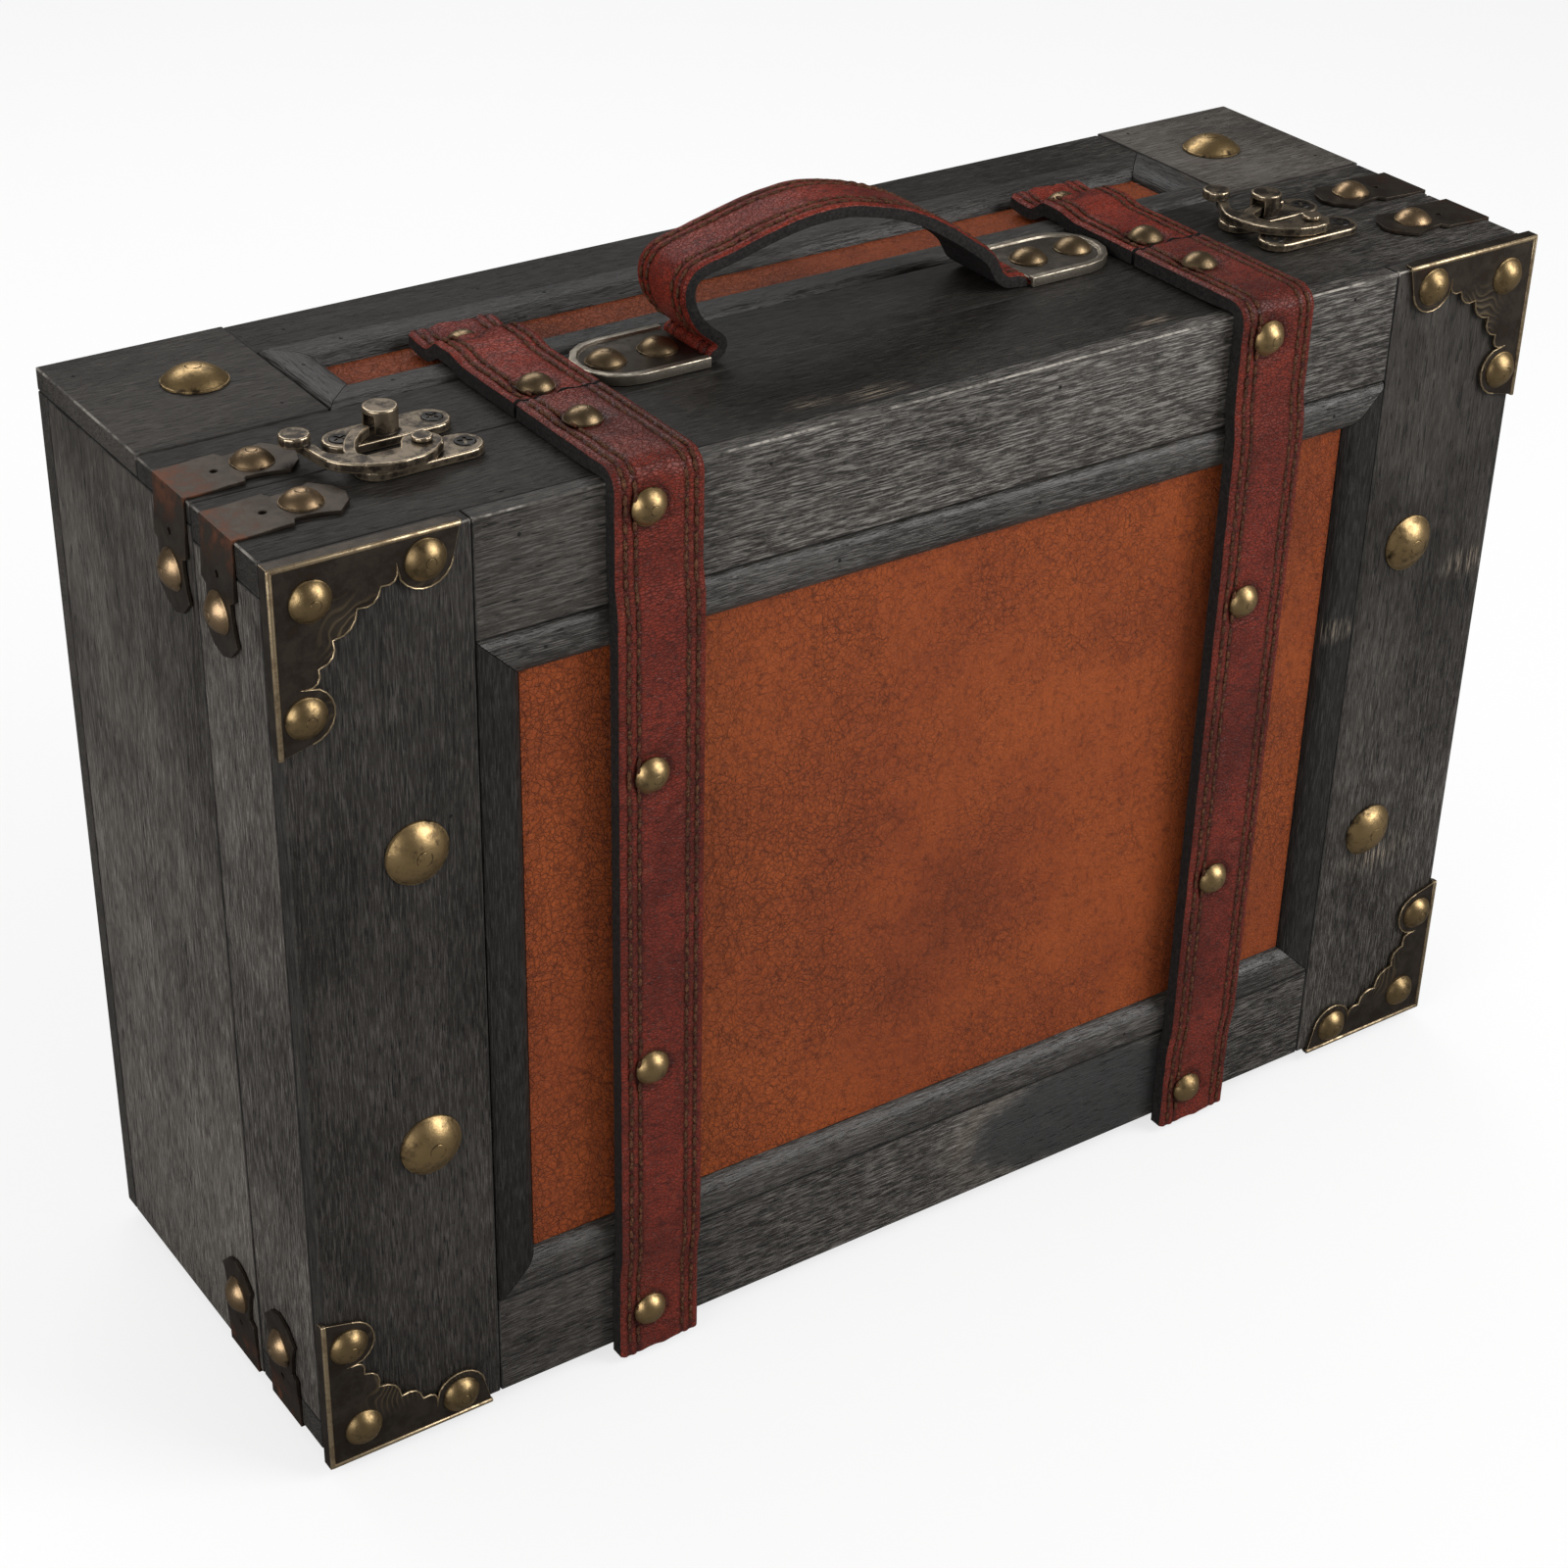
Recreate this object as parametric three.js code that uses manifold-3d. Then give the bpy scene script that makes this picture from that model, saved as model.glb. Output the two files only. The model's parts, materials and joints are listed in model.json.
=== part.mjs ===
// Wooden suitcase box in the old travelling style: a deep rear half and a shallow front half,
// hinged along the bottom and held shut by two swing hooks on top.
// Millimetres. X runs along the case, -Y is its decorated front and +Z is up.
// The pieces are placed from the middle of the wooden box at its underside, and the whole
// case is then set on its feet with the origin under the middle of its bounding box.
import * as THREE from 'three';
import { mergeGeometries, mergeVertices } from 'three/addons/utils/BufferGeometryUtils.js';
import Module from 'manifold-3d';

const wasm = await Module();
wasm.setup();

// Wooden box
const caseLength = 350;
const caseDepth = 117;
const caseHeight = 235;
const lidDepth = 36.5;
const partingGap = 0.5;
const boardThickness = 8;
const faceThickness = 5;
const backingThickness = 4;
const seam = 0.3;

// Gap between a metal or leather piece and what it is fastened on
const seat = 0.25;

// How far a cutting shape runs past what it cuts
const overrun = 1;

// Panelled front of the lid and of the base's top
const stileWidth = 45.5;
const topRailHeight = 28.5;
const bottomRailHeight = 27.8;
const frontStripWidth = 26.4;
const rearStripShare = 0.32;
const endBoardRise = 0.4;
const mouldingWidth = 10.8;
const topMouldingShare = 0.2935;
const mouldingCrest = 1.2;
const mouldingGroove = 0.8;
const mitreDepth = 2.6;
const panelRecess = 2;
const frontLeatherThickness = 2.6;

// Moulding section, as shares of its width across and of its height above the groove
const mouldingSectionShares = [[0, 0], [0.1, 0.62], [0.27, 0.93], [0.45, 1], [0.66, 0.9], [0.85, 0.55], [1, 0]];

// Dome-headed studs
const studRadius = 4.85;
const studHeight = 2.9;
const largeStudRadius = 7.75;
const studSides = 12;
const domeSectionShares = [[1, 0], [0.97, 0.2], [0.78, 0.66], [0.42, 0.93], [0, 1]];

// Thin sheet metal of the corner irons and brackets
const sheetThickness = 0.9;

// Corner irons: distances along each leg from the corner of the front
const ironLeg = 42.5;
const ironLip = 4.2;
const ironEndStud = 34;
const ironEndStudInset = 5.5;
const ironCornerStud = 8;
const ironLobeRadius = 6.6;
const ironCusps = [[23.8, 9], [18.2, 12.5], [12.5, 18.2], [9, 23.8]];
const ironNotch = [27.6, 5.5];
const ironBiteDepth = 1.8;
const arcSteps = 4;

// Brackets that fold over the ends of the case
const bracketWidth = 15.5;
const bracketLegShare = 0.1657;
const bracketNeckShare = 0.4655;
const bracketNeckWidth = 11.6;
const bracketCuspShare = 0.8276;
const bracketStudShare = 0.648;
const bracketHoleShare = 0.345;
const bracketHoleRadius = 0.9;
const baseBracketFromParting = 9.4;
const lidBracketFromParting = 13.5;

// Large studs: distances from the ends, from the parting line and above the underside
const largeStudFromEnd = 29.5;
const largeStudDepthShare = 0.683;
const topLargeStudFromEnd = 26.8;
const leftLargeStudHeights = [160.2, 82];
const rightLargeStudHeights = [157.4, 69.4];

// Straps
const strapWidth = 22.3;
const strapThickness = 4.2;
const strapPlateGap = 0.45;
const strapBend = 1.6;
const strapBelow = 1.5;
const strapStudSunk = 0.4;
const strapStudShift = 2.8;
const leftStrapStudHeights = [229.4, 164.3, 84.7, 10.4];
const rightStrapStudHeights = [229.4, 159.4, 77.4, 8.4];
const strapTopStudFromParting = 14;
const tabFrontStudFromParting = 6.2;
const tabRearStudInPanel = 1.3;
const tabEndClearance = 2.4;
const tabEndLift = 0.7;
const tabCutGap = 0.3;

// Handle: the leather's middle line runs from one plate to the other
const handleWidth = 20;
const handleThickness = 3.2;
const handleEndThickness = 0.8;
const handlePlateInnerShare = 0.26286;
const handlePlateLengthShare = 0.1657;
const handlePlateWidth = 23;
const handlePlateWall = 1.1;
const handlePlateRim = 2.8;
const handlePlateTop = 2.2;
const handlePocketHeight = 1.5;
const handleRimWidth = 1.9;
const handleFromParting = 13.7;
const handleRise = 30;
const handlePlateStudShares = [0.252, 0.728];

// Places along the handle: share of the plates' inner ends, share of the rise, share of the thickness
const handleShares = [
  [-1.42, 0.016, 0], [-0.9935, 0.016, 0], [-0.983, 0.035, 0.3], [-0.965, 0.072, 1], [-0.936, 0.09, 1],
  [-0.924, 0.135, 1], [-0.936, 0.18, 1], [-0.985, 0.243, 1], [-1.048, 0.338, 1], [-1.095, 0.46, 1],
  [-1.113, 0.585, 1], [-1.098, 0.69, 1], [-1.03, 0.775, 1], [-0.85, 0.84, 1], [-0.65, 0.92, 1],
  [-0.43, 0.985, 1], [-0.21, 1, 1], [0, 0.94, 1], [0.175, 0.857, 1], [0.337, 0.742, 1],
  [0.505, 0.582, 1], [0.643, 0.432, 1], [0.735, 0.315, 1], [0.778, 0.215, 1], [0.81, 0.135, 1],
  [0.862, 0.08, 1], [0.935, 0.066, 1], [0.972, 0.042, 0.5], [0.9935, 0.016, 0], [1.42, 0.016, 0],
];

// Swing hooks and their catches
const latchShare = 0.71829;
const latchPlateLength = 30;
const latchPlateWidth = 9.8;
const latchPlateThickness = 2.1;
const latchScrewSpacing = 22;
const latchScrewRadius = 2.6;
const latchScrewGap = 0.35;
const latchScrewSink = 0.9;
const hookLineFromParting = 7.4;
const pivotShift = 0.8;
const pivotRadius = 1.5;
const pivotClearance = 0.1;
const pivotHeadRadius = 2.4;
const pivotHeadHeight = 0.9;
const hookThickness = 2.4;
const hookRunningGap = 0.35;
const postReach = 14.7;
const postShift = 2.1;
const postRadius = 3.9;
const postHeight = 8;
const postCap = 1.3;
const clawHalfWidth = 1.4;
const clawClearance = 0.35;
const slotAngles = [66, 140];
const thumbRadius = 3.5;
const thumbLift = 2.05;
const rightHookTurn = 38.5;

// Hook seen from above when it is swung part way out: the pivot is at zero
const hookOuterEdge = [[2.8, -3.2], [0.9, -5.1], [-3, -6.8], [-7.4, -7.1], [-11.4, -6.5], [-14.9, -5],
  [-18, -2.9], [-20.1, -1], [-21.5, 1.5], [-22.2, 4.7], [-22.6, 8.5]];
const hookThumb = [-23.2, 12.9];
const hookInnerEdge = [[-19.9, 9.6], [-20, 6.6], [-19.3, 4.4], [-17.8, 3.2]];
const hookCrook = [[-14, 1], [-12.9, -1.1], [-10.7, -2.5], [-8.1, -2.8], [-6.1, -1.5], [-4.8, 0.6]];
const hookBossRadius = 4.6;
const clawAngles = [176, 164, 150, 134, 117];
const clawRadii = [15.9, 15.5, 15.1, 14.9, 14.85];

// Butt hinges under the parting line
const hingeShare = 0.46857;
const hingeLength = 30;
const hingeLeafWidth = 12;
const hingeLeafThickness = 1;
const knuckleRadius = 1.65;
const hingeBore = 0.82;
const hingePinRadius = 0.7;
const knuckleGap = 0.4;
const hingeScrewSpacing = 20;
const hingeScrewFromPin = 8;
const hingeScrewRadius = 1.7;
const hingeScrewHeight = 0.7;
const barrelSides = 16;

// Sizes worked out from the ones above
const halfLength = caseLength / 2;
const frontY = -caseDepth / 2;
const rearY = caseDepth / 2;
const partingY = frontY + lidDepth;
const lidRearY = partingY - partingGap / 2;
const baseFrontY = partingY + partingGap / 2;
const innerHalfLength = halfLength - boardThickness - seam;
const metalTop = seat + sheetThickness;
const openingHalfLength = halfLength - stileWidth;
const topFrameFrontY = partingY + frontStripWidth;
const topFrameRearY = rearY - rearStripShare * (rearY - topFrameFrontY);
const topMouldingWidth = topMouldingShare * (topFrameRearY - topFrameFrontY);
const bracketLeg = bracketLegShare * halfLength;
const bracketStud = bracketStudShare * bracketLeg;
const handlePlateInner = handlePlateInnerShare * halfLength;
const handlePlateLength = handlePlateLengthShare * halfLength;
const strapOffCentre = handlePlateInner + handlePlateLength + strapPlateGap + strapWidth / 2;
const latchOffCentre = latchShare * halfLength;
const hingeOffCentre = hingeShare * halfLength;
const hingePinZ = -(seat + knuckleRadius);
const strapOutside = seat + strapThickness;

// Finishes
function finish(color, roughness, metalness) {
  return new THREE.MeshStandardMaterial({ color, roughness, metalness });
}

const stainedWood = () => finish(0x34312f, 0.62, 0);
const orangeLeather = () => finish(0x8c4524, 0.55, 0);
const redLeather = () => finish(0x6e2f27, 0.45, 0);
const antiqueBrass = () => finish(0x8a7448, 0.38, 0.9);
const darkBronze = () => finish(0x3f332c, 0.45, 0.85);
const wornBrass = () => finish(0x6f604a, 0.4, 0.9);

const caseParts = new THREE.Group();

function add(name, geometry, material) {
  const mesh = new THREE.Mesh(geometry, material);
  mesh.name = name;
  caseParts.add(mesh);
}

// Geometry helpers

function bareGeometry(geometry) {
  const bare = geometry.index ? geometry.toNonIndexed() : geometry.clone();
  bare.deleteAttribute('normal');
  bare.deleteAttribute('uv');
  return bare;
}

function joined(geometries) {
  return mergeGeometries(geometries.map(bareGeometry));
}

function toSolid(geometry) {
  const welded = mergeVertices(bareGeometry(geometry));
  const vertProperties = new Float32Array(welded.attributes.position.array);
  const triVerts = new Uint32Array(welded.index.array);
  return new wasm.Manifold(new wasm.Mesh({ numProp: 3, vertProperties, triVerts }));
}

function fromSolid(solid) {
  const mesh = solid.getMesh();
  const geometry = new THREE.BufferGeometry();
  geometry.setAttribute('position', new THREE.BufferAttribute(new Float32Array(mesh.vertProperties), 3));
  geometry.setIndex(new THREE.BufferAttribute(new Uint32Array(mesh.triVerts), 1));
  return geometry;
}

function unite(geometries) {
  let solid = toSolid(geometries[0]);
  for (const geometry of geometries.slice(1)) {
    solid = solid.add(toSolid(geometry));
  }
  return fromSolid(solid);
}

function cutBy(geometry, cutters) {
  let solid = toSolid(geometry);
  for (const cutter of cutters) {
    solid = solid.subtract(toSolid(cutter));
  }
  return fromSolid(solid);
}

function block(x0, x1, y0, y1, z0, z1) {
  const geometry = new THREE.BoxGeometry(x1 - x0, y1 - y0, z1 - z0);
  return geometry.translate((x0 + x1) / 2, (y0 + y1) / 2, (z0 + z1) / 2);
}

function mirrored(geometry, x, y, z) {
  const copy = bareGeometry(geometry).scale(x, y, z);
  if (x * y * z > 0) {
    return copy;
  }
  const position = copy.attributes.position;
  for (let i = 0; i < position.count; i += 3) {
    const second = new THREE.Vector3().fromBufferAttribute(position, i + 1);
    const third = new THREE.Vector3().fromBufferAttribute(position, i + 2);
    position.setXYZ(i + 1, third.x, third.y, third.z);
    position.setXYZ(i + 2, second.x, second.y, second.z);
  }
  return copy;
}

// Prism of a flat outline: across and up are the outline's axes, and the depth runs along their cross product
function prism(outline, depth, origin, across, up) {
  const shape = new THREE.Shape(outline.map(([a, b]) => new THREE.Vector2(a, b)));
  const geometry = new THREE.ExtrudeGeometry(shape, { depth, bevelEnabled: false });
  const along = new THREE.Vector3().crossVectors(across, up);
  const basis = new THREE.Matrix4().makeBasis(across, up, along).setPosition(origin);
  return geometry.applyMatrix4(basis);
}

const axisX = new THREE.Vector3(1, 0, 0);
const axisY = new THREE.Vector3(0, 1, 0);
const axisZ = new THREE.Vector3(0, 0, 1);

function plate(outline, depth, z) {
  return prism(outline, depth, new THREE.Vector3(0, 0, z), axisX, axisY);
}

function arcPoints(cx, cy, radius, fromDegrees, toDegrees, steps) {
  const points = [];
  for (let i = 0; i <= steps; i += 1) {
    const angle = THREE.MathUtils.degToRad(fromDegrees + (toDegrees - fromDegrees) * i / steps);
    points.push([cx + radius * Math.cos(angle), cy + radius * Math.sin(angle)]);
  }
  return points;
}

// Points of a shallow arc between two ends, bowed to the left of the way from one to the other
function bowPoints([ax, ay], [bx, by], bow) {
  const points = [];
  for (let i = 1; i < arcSteps; i += 1) {
    const share = i / arcSteps;
    const rise = 4 * share * (1 - share) * bow;
    const span = Math.hypot(bx - ax, by - ay);
    const x = ax + (bx - ax) * share - (by - ay) / span * rise;
    const y = ay + (by - ay) * share + (bx - ax) / span * rise;
    points.push([x, y]);
  }
  return points;
}

// Closed outline of a band that follows a line, with its own reach to each side of every point
function bandOutline(line, reachRight, reachLeft) {
  const left = [];
  const right = [];
  line.forEach(([x, y], i) => {
    const before = line[Math.max(i - 1, 0)];
    const after = line[Math.min(i + 1, line.length - 1)];
    const into = new THREE.Vector2(x - before[0], y - before[1]);
    const out = new THREE.Vector2(after[0] - x, after[1] - y);
    const inNormal = (into.length() > 0 ? into : out).clone().normalize();
    const outNormal = (out.length() > 0 ? out : into).clone().normalize();
    const sum = inNormal.add(outNormal).normalize();
    const stretch = 1 / Math.max(sum.dot(outNormal), 0.5);
    left.push([x - sum.y * reachLeft[i] * stretch, y + sum.x * reachLeft[i] * stretch]);
    right.push([x + sum.y * reachRight[i] * stretch, y - sum.x * reachRight[i] * stretch]);
  });
  return right.concat(left.reverse());
}

function revolve(profile, sides) {
  const points = profile.map(([radius, height]) => new THREE.Vector2(radius, height));
  return new THREE.LatheGeometry(points, sides);
}

// Dome-headed stud standing on a point, its axis along a direction and its rim sunk by some depth
function stud(radius, height, sunk, x, y, z, direction) {
  const dome = domeSectionShares.map(([across, rise]) => [across * radius, rise * height]);
  const profile = [[0, -sunk], [radius, -sunk]].concat(dome);
  const turn = new THREE.Quaternion().setFromUnitVectors(axisY, direction);
  return revolve(profile, studSides).applyQuaternion(turn).translate(x, y, z);
}

const frontward = new THREE.Vector3(0, -1, 0);
const upward = axisZ;
const downward = new THREE.Vector3(0, 0, -1);
const leftward = new THREE.Vector3(-1, 0, 0);

// Four bars of moulding mitred round a rectangle, their outer edges on it, glued into one frame
function mouldingFrame(barWidth, halfWidth, low, high, floor, toPlace) {
  const height = mouldingCrest + mouldingGroove;
  const profile = [[0, floor], [barWidth, floor]];
  const section = mouldingSectionShares.slice().reverse();
  section.forEach(([across, rise]) => profile.push([across * barWidth, rise * height - mouldingGroove]));
  const corners = [[-1, low, 1], [1, low, 1], [1, high, -1], [-1, high, -1]];
  const ring = corners.map(([side, edge, inward]) => profile
    .map(([across, rise]) => [side * (halfWidth - across), edge + inward * across, rise]));
  const triangles = [];
  ring.forEach((here, i) => {
    const ahead = ring[(i + 1) % ring.length];
    here.forEach((point, j) => {
      const k = (j + 1) % here.length;
      triangles.push(point, ahead[k], ahead[j], point, here[k], ahead[k]);
    });
  });
  const frame = new THREE.BufferGeometry();
  frame.setAttribute('position', new THREE.BufferAttribute(new Float32Array(triangles.flat()), 3));
  const reach = 2 * barWidth;
  const cuts = corners.map(([side, edge, inward]) => block(-reach, reach, -seam / 2, seam / 2, -mitreDepth, reach)
    .rotateZ(-side * inward * Math.PI / 4)
    .translate(side * halfWidth, edge, mouldingCrest));
  return cutBy(outwardFacing(frame), cuts).applyMatrix4(toPlace);
}

function outwardFacing(geometry) {
  const position = geometry.attributes.position;
  const [a, b, c] = [new THREE.Vector3(), new THREE.Vector3(), new THREE.Vector3()];
  let volume = 0;
  for (let i = 0; i < position.count; i += 3) {
    a.fromBufferAttribute(position, i);
    b.fromBufferAttribute(position, i + 1);
    c.fromBufferAttribute(position, i + 2);
    volume += a.dot(b.cross(c));
  }
  if (volume > 0) {
    return geometry;
  }
  for (let i = 0; i < position.count; i += 3) {
    b.fromBufferAttribute(position, i + 1);
    c.fromBufferAttribute(position, i + 2);
    position.setXYZ(i + 1, c.x, c.y, c.z);
    position.setXYZ(i + 2, b.x, b.y, b.z);
  }
  return geometry;
}

// Wooden box of the base: boards, back panel and the framed top
function baseBoards() {
  const backInnerY = rearY - faceThickness - seam;
  const coreTop = caseHeight - faceThickness - seam;
  const innerTop = coreTop - boardThickness;
  const wood = stainedWood();
  add('base_left_board', block(-halfLength, -halfLength + boardThickness, baseFrontY, backInnerY, 0, coreTop), wood);
  add('base_right_board', block(halfLength - boardThickness, halfLength, baseFrontY, backInnerY, 0, coreTop), wood);
  add('base_top_board', block(-innerHalfLength, innerHalfLength, baseFrontY, backInnerY, innerTop, coreTop), wood);
  add('base_bottom_board', block(-innerHalfLength, innerHalfLength, baseFrontY, backInnerY, 0, boardThickness), wood);
  add('base_back_panel', block(-halfLength, halfLength, rearY - faceThickness, rearY, 0, coreTop), wood);
}

function baseTopFace() {
  const under = caseHeight - faceThickness;
  const endInner = openingHalfLength + seam / 2;
  const endFrontY = topFrameFrontY + seam / 2;
  const endTop = caseHeight + endBoardRise;
  const wood = stainedWood();
  add('top_front_strip',
    block(-halfLength, halfLength, baseFrontY, topFrameFrontY - seam / 2, under, caseHeight), wood);
  add('top_left_end', block(-halfLength, -endInner, endFrontY, rearY, under, endTop), wood);
  add('top_right_end', block(endInner, halfLength, endFrontY, rearY, under, endTop), wood);
  add('top_rear_strip', block(-endInner + seam, endInner - seam, topFrameRearY + seam / 2, rearY, under, caseHeight),
    wood);
  const place = new THREE.Matrix4().setPosition(0, 0, caseHeight);
  add('top_moulding', mouldingFrame(topMouldingWidth, openingHalfLength - seam / 2, topFrameFrontY + seam / 2,
    topFrameRearY - seam / 2, -faceThickness, place), wood);
  const inset = topMouldingWidth + seam;
  add('top_leather', block(-openingHalfLength + inset, openingHalfLength - inset, topFrameFrontY + inset,
    topFrameRearY - inset, under, caseHeight - panelRecess), orangeLeather());
}

// Wooden box of the lid: boards, backing panel and the framed front
function lidBoards() {
  const innerFrontY = frontY + faceThickness + seam;
  const lowBoard = boardThickness;
  const highBoard = caseHeight - boardThickness;
  const wood = stainedWood();
  add('lid_left_board', block(-halfLength, -halfLength + boardThickness, innerFrontY, lidRearY,
    lowBoard + seam, highBoard - seam), wood);
  add('lid_right_board', block(halfLength - boardThickness, halfLength, innerFrontY, lidRearY,
    lowBoard + seam, highBoard - seam), wood);
  add('lid_top_board', block(-halfLength, halfLength, innerFrontY, lidRearY, highBoard, caseHeight), wood);
  add('lid_bottom_board', block(-halfLength, halfLength, innerFrontY, lidRearY, 0, lowBoard), wood);
  add('lid_backing_panel', block(-innerHalfLength, innerHalfLength, innerFrontY, innerFrontY + backingThickness,
    lowBoard + seam, highBoard - seam), wood);
}

function lidFrontFace() {
  const back = frontY + faceThickness;
  const stileInner = openingHalfLength + seam / 2;
  const railHalf = openingHalfLength - seam / 2;
  const openingTop = caseHeight - topRailHeight;
  const wood = stainedWood();
  add('front_left_stile', block(-halfLength, -stileInner, frontY, back, 0, caseHeight), wood);
  add('front_right_stile', block(stileInner, halfLength, frontY, back, 0, caseHeight), wood);
  add('front_top_rail', block(-railHalf, railHalf, frontY, back, openingTop, caseHeight), wood);
  add('front_bottom_rail', block(-railHalf, railHalf, frontY, back, 0, bottomRailHeight), wood);
  const place = new THREE.Matrix4().makeBasis(axisX, axisZ, frontward).setPosition(0, frontY, 0);
  add('front_moulding', mouldingFrame(mouldingWidth, railHalf, bottomRailHeight + seam, openingTop - seam,
    -faceThickness, place), wood);
  const inset = mouldingWidth + seam + seam / 2;
  add('front_leather', block(-openingHalfLength + inset, openingHalfLength - inset, frontY + panelRecess,
    frontY + panelRecess + frontLeatherThickness, bottomRailHeight + inset, openingTop - inset), orangeLeather());
}

// Corner iron of the lid's top left corner, laid out from that corner
function ironOutline() {
  const fold = -metalTop;
  const lobeStart = [ironLeg, fold];
  const lobe = arcPoints(ironEndStud, ironEndStudInset, ironLobeRadius, 10, 150, 2 * arcSteps);
  const half = [lobeStart].concat(lobe, [ironNotch]);
  const points = half.slice();
  let last = ironNotch;
  const bites = ironCusps.concat([[ironNotch[1], ironNotch[0]]]);
  bites.forEach((cusp) => {
    points.push(...bowPoints(last, cusp, -ironBiteDepth), cusp);
    last = cusp;
  });
  half.slice(0, -1).reverse().forEach(([along, down]) => points.push([down, along]));
  points.push([fold, fold]);
  return points;
}

function ironLipOutline() {
  const fold = -metalTop;
  const end = arcPoints(ironLeg - ironLip, 0, ironLip, 0, 90, arcSteps);
  return [[fold, fold], [ironLeg, fold]].concat(end, [[fold, ironLip]]);
}

function cornerIron() {
  const face = ironOutline().map(([along, down]) => [along - halfLength, caseHeight - down]);
  const faceSheet = prism(face, sheetThickness, new THREE.Vector3(0, frontY - seat, 0), axisX, axisZ);
  const topLip = ironLipOutline().map(([along, inward]) => [along - halfLength, frontY + inward]);
  const topSheet = plate(topLip, sheetThickness, caseHeight + seat);
  const sideLip = ironLipOutline().map(([down, inward]) => [frontY + inward, caseHeight - down]);
  const sideStart = new THREE.Vector3(-halfLength - metalTop, 0, 0);
  const sideSheet = prism(sideLip, sheetThickness, sideStart, axisY, axisZ);
  const places = [[ironCornerStud, ironCornerStud], [ironEndStud, ironEndStudInset], [ironEndStudInset, ironEndStud]];
  const studs = places.map(([along, down]) => stud(studRadius, studHeight, sheetThickness / 2,
    along - halfLength, frontY - metalTop, caseHeight - down, frontward));
  return unite([faceSheet, topSheet, sideSheet].concat(studs));
}

// Turns a piece of the top left corner over to any of the four corners
function atCorner(geometry, left, upper) {
  const placed = geometry.clone().translate(0, 0, -caseHeight / 2);
  return mirrored(placed, left ? 1 : -1, 1, upper ? 1 : -1).translate(0, 0, caseHeight / 2);
}

const cornerNames = [['top_left', true, true], ['top_right', false, true],
  ['bottom_left', true, false], ['bottom_right', false, false]];

function cornerIrons() {
  const iron = cornerIron();
  for (const [name, left, upper] of cornerNames) {
    add(`corner_iron_${name}`, atCorner(iron, left, upper), darkBronze());
  }
}

// Outline of one leg of a bracket: distance from the fold, and distance across
function bracketOutline() {
  const half = bracketWidth / 2;
  const neck = bracketNeckWidth / 2;
  const neckStart = bracketNeckShare * bracketLeg;
  const bracketCusp = bracketCuspShare * bracketLeg;
  const edge = [[-metalTop, half], [neckStart, half], [neckStart + overrun, neck]];
  edge.push(...bowPoints([neckStart + overrun, neck], [bracketCusp, half], -overrun / 2), [bracketCusp, half]);
  const end = bowPoints([bracketCusp, half], [bracketCusp, -half], bracketLeg - bracketCusp);
  const other = edge.map(([along, across]) => [along, -across]).reverse();
  return edge.concat(end, other);
}

function bracket(middleY) {
  const bracketHole = bracketHoleShare * bracketLeg;
  const outline = bracketOutline();
  const topLeg = outline.map(([along, across]) => [along - halfLength, middleY + across]).reverse();
  const sideLeg = outline.map(([along, across]) => [middleY + across, caseHeight - along]).reverse();
  const topSheet = plate(topLeg, sheetThickness, caseHeight + seat);
  const sideStart = new THREE.Vector3(-halfLength - metalTop, 0, 0);
  const sideSheet = prism(sideLeg, sheetThickness, sideStart, axisY, axisZ);
  const hole = new THREE.CylinderGeometry(bracketHoleRadius, bracketHoleRadius, 4 * metalTop, 8);
  const topHole = hole.clone().rotateX(Math.PI / 2).translate(bracketHole - halfLength, middleY, caseHeight);
  const sideHole = hole.clone().rotateZ(Math.PI / 2).translate(-halfLength, middleY, caseHeight - bracketHole);
  const topStud = stud(studRadius, studHeight, sheetThickness / 2,
    bracketStud - halfLength, middleY, caseHeight + metalTop, upward);
  const sideStud = stud(studRadius, studHeight, sheetThickness / 2,
    -halfLength - metalTop, middleY, caseHeight - bracketStud, leftward);
  return cutBy(unite([topSheet, sideSheet, topStud, sideStud]), [topHole, sideHole]);
}

function brackets(half, middleY) {
  const piece = bracket(middleY);
  for (const [name, left, upper] of cornerNames) {
    add(`${half}_bracket_${name}`, atCorner(piece, left, upper), darkBronze());
  }
}

function largeStud(x, y, z, direction) {
  return stud(largeStudRadius, metalTop + studHeight - seat, 0, x, y, z, direction);
}

function largeStuds() {
  const rows = [['left', -1, leftLargeStudHeights], ['right', 1, rightLargeStudHeights]];
  const y = partingY + largeStudDepthShare * (rearY - partingY);
  for (const [side, sign, heights] of rows) {
    heights.forEach((z, i) => {
      const x = sign * (halfLength - largeStudFromEnd);
      add(`front_stud_${side}_${i === 0 ? 'upper' : 'lower'}`, largeStud(x, frontY - seat, z, frontward),
        antiqueBrass());
    });
    const topX = sign * (halfLength - topLargeStudFromEnd);
    add(`top_stud_${side}`, largeStud(topX, y, caseHeight + endBoardRise + seat, upward), antiqueBrass());
    add(`rear_foot_${side}`, largeStud(topX, y, -seat, downward), antiqueBrass());
  }
}

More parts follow.
